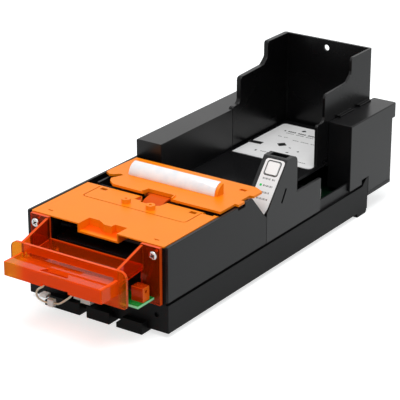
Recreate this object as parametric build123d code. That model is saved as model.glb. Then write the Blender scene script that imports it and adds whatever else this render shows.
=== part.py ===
from build123d import *
import os
from math import acos, atan2, cos, degrees, hypot, pi, radians, sin, sqrt, tan

# Ticket printer, in millimetres.
# x runs across (positive to the right seen from the front), y runs to the back from
# the front face of the chassis, z runs up from the surface that the feet stand on.

# Overall
HALF_WIDTH = 55.0          # half the width over the side plates
WALL = 2.0                 # moulded walls
TOUCH = 0.05               # how near an edge lies to the corner it is picked by
CLEAR = 0.3                # gap between pieces that move past each other
RUN_FIT = 0.05             # radial clearance of a running fit
FRAME_T = 1.5              # steel sheet
REAR_Y = 281.5             # rear face of the chassis
DECK_Z = 61.0              # top of the side plates and the front cover
SEAM_Y = 112.0             # where the side plates end
inner = HALF_WIDTH - WALL

# Base tray
FOOT = 3.0                 # height of the feet
REAR_OVERHANG = 33.5       # how far the chassis reaches back past the base
BASE_LENGTH = REAR_Y - REAR_OVERHANG
BASE_TOP = 22.0
SCREW_IN = 7.0             # how far the front screws stand in from the side walls
SCREW_X = inner - SCREW_IN
BASE_SCREW_Z = 14.0
BASE_SCREW_R = 1.6
FLOOR_HOLE_X = 30.0        # the four holes that bolt it down
FLOOR_HOLE_FRONT_Y = 40.0
FLOOR_HOLE_REAR_IN = 38.0  # how far the rear ones stand in from the rear end
FLOOR_HOLE_Y = (FLOOR_HOLE_FRONT_Y, BASE_LENGTH - FLOOR_HOLE_REAR_IN)
FLOOR_HOLE_R = 2.2
FRONT_WINDOW_X = (-26.0, 11.0)
FRONT_WINDOW_Z = (8.0, 17.0)
LUG_X = ((-38.8, -10.5), (-5.0, 13.0), (18.5, 38.5))
LUG_DEPTH = 5.4            # how far a lug stands out in front
LUG_BACK = 4.4             # how far it reaches back under the floor
LUG_TOP = 8.0
LUG_FLARE = 4.5
REAR_FOOT_IN = 1.0
REAR_FOOT_L = 13.0
REAR_FOOT_W = 10.0
RUNNER_IN = 9.0            # strips that carry the chassis pan
RUNNER_W = 4.0
RUNNER_END = 12.0
HOOK_L = 8.0
HOOK_TIP = 2.0
HOOK_RISE = 5.0
HOOK_ROOM = 0.5

# Chassis
PAN_Z = 12.5               # underside of the chassis pan
PAN_RISE = 30.0            # top of its side flanges
PAN_REAR_TOP = 15.5
REVEAL = 2.0               # dark gap between the base and the side plates
EXIT_HALF = 35.0           # half the width of the exit in the front panel
EXIT_Z = DECK_Z - 17.0
TAB_NOTCH_Y = (77.7, 85.7)
TAB_NOTCH_DROP = 2.0
EAR_Y = (86.3, 94.5)
EAR_RISE = 0.7
PLATE_ROUND = 1.0
STUB_REACH = 1.2           # how deep the hinge holes go into the side plates

# Side frames and ticket path
GEAR_ROOM = 5.0            # between the steel side frames and the side walls
FRAME_X = (inner - GEAR_ROOM - FRAME_T, inner - GEAR_ROOM)
FRAME_LOW_TOP = DECK_Z - 7.0
FRAME_HIGH_TOP = DECK_Z - 0.7
FRAME_HOOK_DROP = 6.0
FRAME_Y = (4.0, 98.0)
FRAME_STEP_Y = 64.0
PATH_Z0 = DECK_Z - 14.8    # height of the ticket path at y = 0
PATH_RISE = 0.125          # its rise for each millimetre as far as the front cover's hinge
PATH_BEND_Y = 62.0
PATH_REAR_Y = 88.0         # where it runs level under the rear cover
PATH_REAR_Z = DECK_Z - 1.35
TICKET = 0.3               # room for the ticket over its guide
GUIDE_T = 1.2
GUIDE_HALF = 34.0
GUIDE_TAB_Y = (38.0, 48.0)  # where it reaches out to the side frames
SENSOR_X = (8.0, 14.0)
SENSOR_Y = (46.0, 52.0)
SENSOR_DEPTH = 5.0
SENSOR_HOLE_R = 1.2

# Platen and gear train
PLATEN_Y = 26.0
PLATEN_R = 6.0
PLATEN_HALF = 32.5
SHAFT_R = 2.5
SHAFT_PROUD = 1.5
BUSHING_R = 4.5
BUSHING_FLANGE = 1.2
MODULE = 1.0
PRESSURE = radians(20)
BACKLASH = 0.16
PLATEN_TEETH = 20
IDLER_TEETH = 28
PINION_TEETH = 12
GEAR_GAP = 0.4             # between the right frame and the gears
GEAR_W = 2.8
GEAR_X = (FRAME_X[1] + GEAR_GAP, FRAME_X[1] + GEAR_GAP + GEAR_W)
STUD_GEAR_R = 2.0
STUD_COLLAR = 1.5
MOTOR_Y = 66.0
MOTOR_Z = DECK_Z - 28.0
MOTOR_R = 16.8
MOTOR_LENGTH = 20.0
MOTOR_SHAFT_R = 1.5
MOTOR_BORE = 12.0

# Front cover
FRONT_SKIN = 2.0
FRONT_Y0 = 0.3
FRONT_GAP = 1.0            # between the front cover and the side walls
FRONT_HALF = inner - FRONT_GAP
KNUCKLE_R = 3.2            # round rear edge, centred on the hinge axis
FRONT_HINGE_Y = 58.2
HINGE_Z = DECK_Z - KNUCKLE_R
PIN_R = 1.5
HINGE_EAR = 3.0            # width of the ear that holds the right pin
HINGE_CUT_X0 = 41.3        # the rear corner is cut away from here to the ear
HINGE_CUT_Y = 57.0
RIB_T = 1.5
FRONT_LAP = 2.4            # how far its thin front edge laps over the front panel
FRONT_LAP_T = 0.9
RECESS_X = (-13.8, 16.0)   # finger recess in the front edge
RECESS_Y = 11.4
RECESS_FLOOR_Z = DECK_Z - 5.2
RECESS_WALL = 1.0
RECESS_FLOOR_T = 1.1
BLOCK_X = (-5.6, 0.4, 6.5)  # block that stands in the recess, with one slanting side
BLOCK_Y = 7.7
NOTCH_REAR_X = (-9.5, 13.2)  # notch in the rear edge, over the latch
NOTCH_FRONT_X = (-2.7, 9.4)
NOTCH_CORNER = (11.7, 52.2)
NOTCH_Y = 50.7
RAMP = ((-9.0, 52.6), (-8.4, 60.0), (-3.9, 52.6))  # shallow ramp beside the notch
RAMP_DEPTH = 0.9
BOSS_X = 9.7
BOSS_Y = 44.5
BOSS_R = 3.1
BOSS_RISE = 3.0
BOSS_HOLE_R = 1.1
WINDOW_X = 35.5
WINDOW_Y = 55.0
WINDOW_SIZE = (5.0, 3.2)
STEP_HALF = 41.0
STEP_Y = 38.0
STEP_ROUND = 3.0
GROOVE = 0.8
GROOVE_DEPTH = 0.6
MARK_X = 41.6              # small slots by the front edge
MARK_Y = 7.0
MARK_SIZE = (3.8, 1.2)
MARK_DEPTH = 1.0

# Thermal head, under the front cover
HEAD_Y = (15.0, 32.0)
HEAD_HALF = 33.5
HEAD_T = 1.6
SINK_T = 3.6
HEAD_GAP = 0.3
GUIDE_PIN_X = 28.0
HEAD_SPRING_X = 16.0
HEAD_SPRING_R = 3.0
SPRING_WALL = 0.6
GUIDE_PIN_R = 1.5

# Rear cover
REAR_SKIN_Z = DECK_Z + CLEAR
REAR_TOP_Z = DECK_Z + 2.0
REAR_COVER_Y = (61.7, SEAM_Y - 2.1)
REAR_HINGE_Y = SEAM_Y - 6.0
REAR_HINGE_Z = DECK_Z - 3.2
TAB_GAP = 0.1
BARREL_R = 3.0
BARREL_W = 6.6
BARREL_IN = 0.5            # between the barrels and the line of the side frames
POST_W = 3.5
POST_GAP = 0.4
BARREL_X = (FRAME_X[0] - BARREL_IN - BARREL_W, FRAME_X[0] - BARREL_IN)
POST_X = (BARREL_X[0] - POST_GAP - POST_W, BARREL_X[0] - POST_GAP)
LATCH_MID = 2.4            # the latch sits a little to the right of the middle
ARCH_HALF = 11.4
ARCH_TAPER = 1.3
ARCH_Y = 66.6
ARCH_BEAD = 0.9            # raised bead round the arch
STRIP_R = 8.0              # outside of the white strip
STRIP_T = 0.8
STRIP_Y = 88.4             # its upright rear edge
STRIP_HALF = 34.4
RIB_END = 2.1              # how far the rib shows past the strip at the right
RIB_WALL = 1.6
REAR_MARK_IN = 6.2         # shallow mark by its rear right corner
REAR_MARK_BEHIND = 11.2
REAR_MARK_SIZE = (4.8, 2.8)
LATCH_PIVOT = (67.4, DECK_Z - 1.5)
LATCH_HALF = 7.5
LATCH_PIN_R = 0.8
LATCH_BOSS_R = 1.4
LATCH_BAR = (64.9, DECK_Z - 2.8)
LATCH_BAR_R = 0.8
LATCH_T = 1.2
LATCH_EAR = 1.5
LATCH_EAR_GAP = 0.3
LATCH_TIP_Y = 53.4
LATCH_TIP_DROP = 2.5       # how far the tip of the thumb lies under its pivot
LATCH_CREST_Y = 61.4
LATCH_CREST_DROP = 0.2
BARB_GAP = 0.15
BARB_T = 0.7

# Tray, rail, box and hopper
TRAY_FLOOR_Z = DECK_Z - 18.0
TRAY_HALF = 34.2
TRAY_FRONT_Y = SEAM_Y + 0.8
TRAY_WALL_TOP = DECK_Z - 3.5
LEG_FRONT_IN = 12.2        # the legs that hold it over the main board
LEG_REAR_IN = 5.5
LEG_Y = (TRAY_FRONT_Y + LEG_FRONT_IN, REAR_Y - LEG_REAR_IN)
RAIL_Y = SEAM_Y + 5.5
RAIL_TOP = TRAY_FLOOR_Z + 30.0
RAIL_ROUND = 0.8
CAP_DEPTH = 5.0            # how far the caps of the rail and the box reach past the rear
CAP_Z0 = RAIL_TOP - 11.0
CAP_ROUND = 1.5
BOX_Y = REAR_Y - 59.5
HOPPER_Y = REAR_Y - 75.5
HOPPER_STEP_Y = REAR_Y - 65.5
HOPPER_BACK_Y = REAR_Y - 29.5
HOPPER_LOW_Z = RAIL_TOP + 1.5
HOPPER_TOP = 112.0
SHOULDER_DROP = 17.7
SHOULDER_RUN = 6.0
SHOULDER_RISE = 1.2
HOPPER_SHOULDER_Z = HOPPER_TOP - SHOULDER_DROP
HOPPER_LEFT_T = 3.6
HOPPER_BACK_ROUND = 3.0
HOPPER_HOLE_X = -1.0
HOPPER_HOLE_DROP = 6.0
HOPPER_HOLE_Z = HOPPER_TOP - HOPPER_HOLE_DROP
HOPPER_HOLE_R = 2.25
HOPPER_TABS = ((47.5, 28.5), (19.5, 3.5))  # tabs on the box, measured from the rear face
TAB_REACH = 2.4
TAB_T = 1.3
LABEL_Y = (REAR_Y - 80.5, REAR_Y - 9.5)
LABEL_X = (-31.2, 33.9)
LABEL_T = 0.4
LABEL_ROUND = 3.0

# Control tower
TOWER_X0 = TRAY_HALF + WALL
TOWER_FOOT_Y = SEAM_Y + 0.2
TOWER_TILT = radians(50)
FACE_Y0 = SEAM_Y - 1.5     # where the sloping face would meet the tray floor
TOWER_TOP = TRAY_FLOOR_Z + 32.0
TOWER_BACK_Y = SEAM_Y + 37.6
TOWER_ROUND = 5.0
FACE_ROUND = 1.0
LOW_WALL_L = 31.4
LOW_WALL_TOP = TRAY_FLOOR_Z + 5.0
TOP_SLOT_IN = (4.6, 10.1)  # slot in its roof, measured from the back
TOP_SLOT_END = 1.0
SIDE_SLOT_Y = (TOWER_BACK_Y - 19.3, TOWER_BACK_Y - 13.8)
SIDE_SLOT_Z = (TRAY_FLOOR_Z + 3.4, TRAY_FLOOR_Z + 12.3)
SIDE_SLOT_W = 2.0
LABEL_IN = (3.2, 1.0)      # margins of the face label
FACE_LABEL_X = (TOWER_X0 + LABEL_IN[0], HALF_WIDTH - LABEL_IN[1])
FACE_LABEL_S = (1.0, 40.0)
FACE_LABEL_T = 0.3
BUTTON_S = 33.5
BUTTON_SIZE = 8.8
BUTTON_ROUND = 1.2
BUTTON_PROUD = 0.5
BUTTON_TRAVEL = 0.8
BUTTON_GAP = 0.35
BUTTON_FLANGE = 0.8
LAMP_IN = 3.1
LAMP_X = FACE_LABEL_X[0] + LAMP_IN
LAMP_S = 20.9
LAMP_R = 0.9
SWITCH_BOARD_S = (16.0, 40.0)
SWITCH_DEPTH = 6.0         # room between the wall and the switch board
SWITCH_CASE = 3.2
SWITCH_HALF = 3.0
PLUNGER_R = 1.7

# Bezel
BEZEL_T = 2.0
CHEEK_X = 38.0             # outer face of the cheeks and of the lip
FLANGE_IN = 2.4
FLANGE_X = (CHEEK_X - BEZEL_T, inner - FLANGE_IN)
FLANGE_T = 2.5
FLANGE_Z = (BASE_TOP, DECK_Z - 0.5)
BEZEL_SCREW_Z = DECK_Z - 6.0
BEZEL_SCREW_R = 1.5
BEZEL_SCREW_GAP = 0.2
SCREW_HEAD_R = 2.9
SCREW_HEAD_T = 1.8
SCREW_CROSS = (1.5, 0.35)
VENT_X = (1.2, 3.2)        # small slot over each screw
VENT_Z = (3.2, 4.2)
APRON_Y = 28.0             # how far the apron stands out
APRON_X = (-46.0, 44.0)
APRON_Z = (27.3, DECK_Z - 9.0)
APRON_ROUND = (2.5, 5.0)
SLOT_HALF = 34.5
SLOT_Z = (PATH_Z0 - 3.0, PATH_Z0 + 0.4)
SHELF_Z = PATH_Z0 - 0.4
LIP_Y = 45.0
LIP_Z = (PATH_Z0 - 10.0, PATH_Z0 - 0.5)
LEDGE = 7.3
NOTCH_FRONT_HALF = 11.0
NOTCH_REAR_HALF = 7.5
LIP_CUT_X = (-8.0, 12.5)
BOARD_Z = BASE_TOP + 3.4
BOARD_T = 1.6
BOARD_IN = 6.8
BOARD_X = (-36.0, inner - BOARD_IN)
BOARD_Y = (-19.3, -2.7)
HOOD_W = 8.8
HOOD_X = (BOARD_X[1] - 0.5 - HOOD_W, BOARD_X[1] - 0.5)
HOOD_Y = (-13.5, -6.7)
HOOD_TOP = 36.5
HOOD_WALL = 1.5
HOOD_HOLE_R = 0.9
STUD_X = (-25.0, 25.0)
STUD_R = 2.5
STUD_Y = -10.0
LAMP_PITCH = 15.0
LAMP_SIZE = (4.0, 3.0, 1.8)
LAMP_Y = -14.5

# Lead under the bezel
LEAD_D = 1.3
LEAD_Y = -15.0
SOCKET_X = (-31.0, -8.0)
SOCKET_SIZE = (5.0, 5.0, 4.0)
PLUG_X = (-27.4, -22.9)
PLUG_Z = (6.6, 11.4)
PLUG_DEPTH = 3.6

# Boards and connectors
BOARD_SIDE_IN = (7.0, 3.0)
MAIN_BOARD_X = (BOARD_SIDE_IN[0] - inner, inner - BOARD_SIDE_IN[1])
MAIN_BOARD_Y = (TOWER_BACK_Y + 0.4, REAR_Y - 9.5)
MAIN_BOARD_Z = PAN_Z + 6.5
BOARD_POST_IN = 6.0        # how far its four posts stand in from its edges
STANDOFF_R = 3.0
CHIPS = ((26.0, 25.0, 20.0, 20.0, 2.4), (56.0, 30.0, 14.0, 10.0, 2.0),
         (12.0, 65.0, 12.0, 18.0, 9.0), (48.0, 60.0, 16.0, 8.0, 2.0))
GAP_CONNECTOR_Y = (34.0, 40.0)  # measured from the board's front edge
GAP_CONNECTOR_W = 4.0
GAP_CONNECTOR_H = 15.4
POWER_X = (-30.0, -14.0)
DATA_X = (4.0, 26.0)
PORT_HEIGHT = 9.0
PORT_DEPTH = (19.5, 17.5)
PORT_GAP = 0.5
PORT_WALL = 1.0
PORT_BACK = 3.0
HARNESS_GAP = 2.0
HARNESS_T = 1.6
FRONT_CONNECTORS = (((-17.0, -12.0), -3.0, (9.2, 12.4)), ((-10.8, -3.0), -4.0, (8.4, 12.4)))
SIDE_CONNECTOR = ((-43.6, -38.0), -5.0, (4.4, 6.6))

parts = {}


def slab(x, y, z):
    """A box between its low and high limits along each axis."""
    size = [high - low for low, high in (x, y, z)]
    middle = [(low + high) / 2 for low, high in (x, y, z)]
    return Pos(*middle) * Box(*size)


def mirrored(x):
    """The same limits on the left side."""
    return (-x[1], -x[0])


def both_sides(x, y, z):
    """The same box on the right and on the left."""
    return slab(x, y, z) + slab(mirrored(x), y, z)


def rod_x(radius, x, y, z):
    """A round bar along x, between two limits."""
    return Pos((x[0] + x[1]) / 2, y, z) * Rot(0, 90, 0) * Cylinder(radius, x[1] - x[0])


def rod_y(radius, x, y, z):
    """A round bar along y, between two limits."""
    return Pos(x, (y[0] + y[1]) / 2, z) * Rot(90, 0, 0) * Cylinder(radius, y[1] - y[0])


def rod_z(radius, x, y, z):
    """A round bar along z, between two limits."""
    return Pos(x, y, (z[0] + z[1]) / 2) * Cylinder(radius, z[1] - z[0])


def side_plate(outline, x):
    """A plate with the given (y, z) outline, between two x limits."""
    loop = Polyline(*[(x[0], y, z) for y, z in outline], close=True)
    return extrude(make_face(loop), amount=x[1] - x[0], dir=(1, 0, 0))


def top_plate(outline, z):
    """A plate with the given (x, y) outline, between two z limits."""
    loop = Polyline(*[(x, y, z[0]) for x, y in outline], close=True)
    return extrude(make_face(loop), amount=z[1] - z[0], dir=(0, 0, 1))


def front_plate(outline, y):
    """A plate with the given (x, z) outline, between two y limits."""
    loop = Polyline(*[(x, y[0], z) for x, z in outline], close=True)
    return extrude(make_face(loop), amount=y[1] - y[0], dir=(0, 1, 0))


def rounded(solid, along, corners, radius):
    """Round the edges along one axis that stand at the given corners."""
    across = [name for name in "XYZ" if name != along]
    lines = solid.edges().filter_by({"X": Axis.X, "Y": Axis.Y, "Z": Axis.Z}[along])
    picked = [
        edge for edge in lines
        if any(abs(getattr(edge.center(), across[0]) - a) < TOUCH
               and abs(getattr(edge.center(), across[1]) - b) < TOUCH for a, b in corners)
    ]
    return fillet(picked, radius)


def path_z(y):
    """Height of the ticket path, which is steeper between the two covers' pieces."""
    bend_z = PATH_Z0 + PATH_RISE * PATH_BEND_Y
    if y <= PATH_BEND_Y:
        return PATH_Z0 + PATH_RISE * y
    if y >= PATH_REAR_Y:
        return PATH_REAR_Z
    share = (y - PATH_BEND_Y) / (PATH_REAR_Y - PATH_BEND_Y)
    return bend_z + share * (PATH_REAR_Z - bend_z)


def under_path(stations, thickness, drop=0.0):
    """The (y, z) outline of a strip under the ticket path."""
    upper = [(y, path_z(y) - TICKET - drop) for y in stations]
    return upper + [(y, z - thickness) for y, z in reversed(upper)]


# Base tray: an open moulded tray with lugs in front, feet and hooks at the rear.
base_z = (FOOT, BASE_TOP)
base = slab((-HALF_WIDTH, HALF_WIDTH), (0, BASE_LENGTH), (FOOT, FOOT + WALL))
base += both_sides((inner, HALF_WIDTH), (0, BASE_LENGTH), base_z)
base += slab((-inner, inner), (0, WALL), base_z)
base -= slab(FRONT_WINDOW_X, (-1, WALL + 1), FRONT_WINDOW_Z)
runner_x = (inner - RUNNER_IN - RUNNER_W, inner - RUNNER_IN)
base += both_sides(runner_x, (RUNNER_END, BASE_LENGTH - RUNNER_END), (FOOT + WALL, PAN_Z))
hook = [(BASE_LENGTH, BASE_TOP), (BASE_LENGTH, BASE_TOP + HOOK_RISE),
        (BASE_LENGTH - HOOK_TIP, BASE_TOP + HOOK_RISE), (BASE_LENGTH - HOOK_L, BASE_TOP)]
base += side_plate(hook, (inner, HALF_WIDTH)) + side_plate(hook, (-HALF_WIDTH, -inner))
for left, right in LUG_X:
    lug = slab((left, right), (-LUG_DEPTH, 0), (0, LUG_TOP))
    if left * right > 0:
        lug -= rod_y(LUG_FLARE, left, (-LUG_DEPTH, 0), LUG_TOP)
    base += lug + slab((left, right), (-LUG_DEPTH, LUG_BACK), (0, FOOT))
foot_x = (HALF_WIDTH - REAR_FOOT_W, HALF_WIDTH)
foot_end = BASE_LENGTH - REAR_FOOT_IN
base += both_sides(foot_x, (foot_end - REAR_FOOT_L, foot_end), (0, FOOT))
base = rounded(base, "X", [(foot_end, 0)], FOOT * 2 / 3)
for x in (-SCREW_X, SCREW_X):
    base -= rod_y(BASE_SCREW_R, x, (-1, WALL + 1), BASE_SCREW_Z)
for x in (-FLOOR_HOLE_X, FLOOR_HOLE_X):
    for y in FLOOR_HOLE_Y:
        base -= rod_z(FLOOR_HOLE_R, x, y, (FOOT - 1, FOOT + WALL + 1))
parts["base_tray"] = base

# Chassis pan: the sheet-metal floor that sits between the walls of the base.
flange_x = (inner - FRAME_T, inner)
flange_room_x = (flange_x[0] - CLEAR, inner)
flange_room_z = PAN_RISE + CLEAR
pan = slab((-inner, inner), (WALL, BASE_LENGTH), (PAN_Z, PAN_Z + WALL))
pan += both_sides(flange_x, (WALL, BASE_LENGTH), (PAN_Z, PAN_RISE))
pan += slab((-HALF_WIDTH, HALF_WIDTH), (BASE_LENGTH + CLEAR, REAR_Y), (PAN_Z, PAN_REAR_TOP))
pan += slab((-inner, inner), (BASE_LENGTH, BASE_LENGTH + CLEAR), (PAN_Z, PAN_Z + WALL))
pan_top = PAN_Z + WALL
for x in (MAIN_BOARD_X[0] + BOARD_POST_IN, MAIN_BOARD_X[1] - BOARD_POST_IN):
    for y in (MAIN_BOARD_Y[0] + BOARD_POST_IN, MAIN_BOARD_Y[1] - BOARD_POST_IN):
        pan += rod_z(STANDOFF_R, x, y, (pan_top, MAIN_BOARD_Z))
parts["chassis_pan"] = pan

# Front panel: a frame round the exit, under the front edge of the front cover.
panel_top = DECK_Z - FRONT_LAP_T - CLEAR
panel = slab((-inner, inner), (0, WALL), (BASE_TOP, panel_top))
panel -= slab((-EXIT_HALF, EXIT_HALF), (-1, WALL + 1), (EXIT_Z, DECK_Z))
for x in (-SCREW_X, SCREW_X):
    panel -= rod_y(BEZEL_SCREW_R, x, (-1, WALL + 1), BEZEL_SCREW_Z)
parts["front_panel"] = panel

# Side plates. The right one has a notch for a tab of the rear cover and a sloping edge.
side_z = BASE_TOP + REVEAL
stub_end = inner + STUB_REACH
plate_foot_z = TRAY_FLOOR_Z
right = side_plate(
    [(0, side_z), (0, DECK_Z), (TAB_NOTCH_Y[0], DECK_Z),
     (TAB_NOTCH_Y[0], DECK_Z - TAB_NOTCH_DROP), (TAB_NOTCH_Y[1], DECK_Z - TAB_NOTCH_DROP),
     (EAR_Y[0], DECK_Z + EAR_RISE), (EAR_Y[1], DECK_Z + EAR_RISE),
     (SEAM_Y - 1, plate_foot_z), (SEAM_Y, plate_foot_z), (SEAM_Y, side_z)],
    (inner, HALF_WIDTH))
right = rounded(right, "X", [(0, DECK_Z)], PLATE_ROUND)
pin_hole_r = PIN_R + RUN_FIT
right -= rod_x(pin_hole_r, (inner - 1, stub_end), FRONT_HINGE_Y, HINGE_Z)
parts["right_side_plate"] = right
left = slab((-HALF_WIDTH, -inner), (0, RAIL_Y), (side_z, DECK_Z))
left = rounded(left, "X", [(0, DECK_Z)], PLATE_ROUND)
left -= rod_x(pin_hole_r, (-stub_end, 1 - inner), FRONT_HINGE_Y, HINGE_Z)
parts["left_side_plate"] = left

# Steel side frames, which carry the platen, the guide plate and the latch bar.
platen_z = path_z(PLATEN_Y) - PLATEN_R
frame_outline = [(FRAME_Y[0], pan_top), (FRAME_Y[0], FRAME_LOW_TOP),
                 (FRAME_STEP_Y - 1, FRAME_LOW_TOP), (FRAME_STEP_Y, FRAME_HIGH_TOP - FRAME_HOOK_DROP),
                 (FRAME_STEP_Y, FRAME_HIGH_TOP), (FRAME_Y[1], FRAME_HIGH_TOP),
                 (FRAME_Y[1], pan_top)]
motor_hole_r = MOTOR_SHAFT_R + 2.0
for name, x in (("right_side_frame", FRAME_X), ("left_side_frame", mirrored(FRAME_X))):
    frame = side_plate(frame_outline, x)
    frame -= rod_x(BUSHING_R, x, PLATEN_Y, platen_z)
    frame -= rod_x(LATCH_BAR_R, x, *LATCH_BAR)
    if x[0] > 0:
        frame -= rod_x(motor_hole_r, x, MOTOR_Y, MOTOR_Z)
    parts[name] = frame
parts["latch_bar"] = rod_x(LATCH_BAR_R, (-FRAME_X[1], FRAME_X[1]), *LATCH_BAR)

# Ticket guide: the sloping plate under the ticket, slotted over the platen.
guide_stations = (WALL + CLEAR, PATH_BEND_Y, PATH_REAR_Y, FRAME_Y[1])
guide = side_plate(under_path(guide_stations, GUIDE_T), (-GUIDE_HALF, GUIDE_HALF))
guide += side_plate(under_path(GUIDE_TAB_Y, GUIDE_T), (-FRAME_X[0], FRAME_X[0]))
slot_reach = PLATEN_R + 1.0
guide -= slab((-PLATEN_HALF - 1, PLATEN_HALF + 1),
              (PLATEN_Y - slot_reach, PLATEN_Y + slot_reach), (EXIT_Z, DECK_Z))
sensor_hole_y = (SENSOR_Y[0] + SENSOR_Y[1]) / 2
guide -= rod_z(SENSOR_HOLE_R, (SENSOR_X[0] + SENSOR_X[1]) / 2, sensor_hole_y,
               (EXIT_Z, DECK_Z))
parts["ticket_guide"] = guide
parts["ticket_sensor"] = side_plate(under_path(SENSOR_Y, SENSOR_DEPTH, GUIDE_T), SENSOR_X)

# Platen: a rubber roller on a steel shaft that turns in two bushings.
gear_end = GEAR_X[1]
platen_y = PLATEN_Y
tube = rod_x(PLATEN_R, (-PLATEN_HALF, PLATEN_HALF), platen_y, platen_z)
parts["platen_roller"] = tube - rod_x(SHAFT_R, (-PLATEN_HALF, PLATEN_HALF), platen_y, platen_z)
shaft_x = (-FRAME_X[1] - SHAFT_PROUD, gear_end)
parts["platen_shaft"] = rod_x(SHAFT_R, shaft_x, platen_y, platen_z)
bushings = []
for x in (FRAME_X, mirrored(FRAME_X)):
    outward = 1 if x[0] > 0 else -1
    inside = sorted((outward * (FRAME_X[0] - FRAME_T), outward * FRAME_X[0]))
    ring = rod_x(BUSHING_R, x, platen_y, platen_z)
    ring += rod_x(BUSHING_R + BUSHING_FLANGE, inside, platen_y, platen_z)
    bore_x = (min(inside[0], x[0]), max(inside[1], x[1]))
    bushings.append(ring - rod_x(SHAFT_R + RUN_FIT, bore_x, platen_y, platen_z))
parts["platen_bushings"] = Compound(children=bushings)


def involute(angle):
    """The involute of a pressure angle."""
    return tan(angle) - angle


def gear_body(teeth, bore, centre, turn):
    """A spur gear along x with a tooth centred at the given angle from y towards z."""
    pitch_r = MODULE * teeth / 2
    base_r = pitch_r * cos(PRESSURE)
    root_r = pitch_r - 1.25 * MODULE
    tip_r = pitch_r + MODULE
    tooth_half = pi / (2 * teeth) - BACKLASH / (2 * pitch_r) + involute(PRESSURE)
    steps = 4
    start_r = max(root_r, base_r)
    radii = [start_r + (tip_r - start_r) * k / steps for k in range(steps + 1)]
    if root_r < base_r:
        radii.insert(0, root_r)
    flank = [(r, tooth_half - involute(acos(min(1.0, base_r / r)))) for r in radii]
    outline = []
    for tooth in range(teeth):
        middle = turn + 2 * pi * tooth / teeth
        for r, half in flank:
            outline.append((centre[0] + r * cos(middle - half), centre[1] + r * sin(middle - half)))
        for r, half in reversed(flank):
            outline.append((centre[0] + r * cos(middle + half), centre[1] + r * sin(middle + half)))
    return side_plate(outline, GEAR_X) - rod_x(bore, GEAR_X, *centre)


def meshed_turn(from_centre, from_teeth, from_turn, to_centre, to_teeth):
    """The angle at which the second gear's teeth fall between the first one's."""
    line = atan2(to_centre[1] - from_centre[1], to_centre[0] - from_centre[0])
    offset = from_turn - line
    return line + pi - offset * from_teeth / to_teeth + pi / to_teeth


# Gear train outside the right frame: motor pinion, idler on a stud, platen gear.
platen_c = (PLATEN_Y, platen_z)
motor_c = (MOTOR_Y, MOTOR_Z)
reach_platen = MODULE * (PLATEN_TEETH + IDLER_TEETH) / 2
reach_motor = MODULE * (IDLER_TEETH + PINION_TEETH) / 2
span = hypot(motor_c[0] - platen_c[0], motor_c[1] - platen_c[1])
along = (reach_platen ** 2 - reach_motor ** 2 + span ** 2) / (2 * span)
aside = sqrt(reach_platen ** 2 - along ** 2)
unit = ((motor_c[0] - platen_c[0]) / span, (motor_c[1] - platen_c[1]) / span)
idler_c = (platen_c[0] + along * unit[0] + aside * unit[1],
           platen_c[1] + along * unit[1] - aside * unit[0])
print("idler axis at y, z:", idler_c, "platen axis:", platen_c)
platen_turn = 0.0
idler_turn = meshed_turn(platen_c, PLATEN_TEETH, platen_turn, idler_c, IDLER_TEETH)
pinion_turn = meshed_turn(idler_c, IDLER_TEETH, idler_turn, motor_c, PINION_TEETH)
parts["platen_gear"] = gear_body(PLATEN_TEETH, SHAFT_R, platen_c, platen_turn)
parts["idler_gear"] = gear_body(IDLER_TEETH, STUD_GEAR_R + RUN_FIT, idler_c, idler_turn)
parts["motor_pinion"] = gear_body(PINION_TEETH, MOTOR_SHAFT_R, motor_c, pinion_turn)
collar_x = (FRAME_X[1], GEAR_X[0] - 2 * RUN_FIT)
stud = rod_x(STUD_GEAR_R, (FRAME_X[1], gear_end), *idler_c)
parts["idler_stud"] = stud + rod_x(STUD_GEAR_R + STUD_COLLAR, collar_x, *idler_c)
motor_x = (FRAME_X[0] - MOTOR_LENGTH, FRAME_X[0])
motor = rod_x(MOTOR_R, motor_x, *motor_c)
motor -= rod_x(MOTOR_SHAFT_R + RUN_FIT, (motor_x[1] - MOTOR_BORE, motor_x[1]), *motor_c)
parts["drive_motor"] = motor
shaft_start = motor_x[1] - MOTOR_BORE + 0.2
parts["motor_shaft"] = rod_x(MOTOR_SHAFT_R, (shaft_start, gear_end), *motor_c)

# Front cover: a skin with a round rear edge that turns on two stub pins.
front_y = (FRONT_Y0, FRONT_HINGE_Y)
skin_z = (DECK_Z - FRONT_SKIN, DECK_Z)
front_x = (-FRONT_HALF, FRONT_HALF)
cover = slab(front_x, front_y, skin_z)
cover = rounded(cover, "Z", [(-FRONT_HALF, FRONT_Y0), (FRONT_HALF, FRONT_Y0)], PLATE_ROUND)
cover += rod_x(KNUCKLE_R, front_x, FRONT_HINGE_Y, HINGE_Z)
all_z = (EXIT_Z, DECK_Z + BOSS_RISE)
rear_end = FRONT_HINGE_Y + KNUCKLE_R + 1
notch = top_plate([(NOTCH_REAR_X[0], rear_end), (NOTCH_FRONT_X[0], NOTCH_Y),
                   (NOTCH_FRONT_X[1], NOTCH_Y), NOTCH_CORNER, (NOTCH_REAR_X[1], rear_end)], all_z)
cover -= rounded(notch, "Z", [(NOTCH_FRONT_X[0], NOTCH_Y)], 1.0)
cover -= top_plate(RAMP, (DECK_Z - RAMP_DEPTH, DECK_Z + 1))
cover -= slab((HINGE_CUT_X0, FRONT_HALF - HINGE_EAR), (HINGE_CUT_Y, rear_end), all_z)
rib_x = (FRONT_HALF - RIB_T, FRONT_HALF)
rib_z = (HINGE_Z - 0.5, DECK_Z - FRONT_SKIN)
cover += both_sides(rib_x, (FRONT_Y0 + 3, FRONT_HINGE_Y), rib_z)
cover -= slab(front_x, (FRONT_Y0 - 1, FRONT_LAP), (EXIT_Z, DECK_Z - FRONT_LAP_T))
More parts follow.
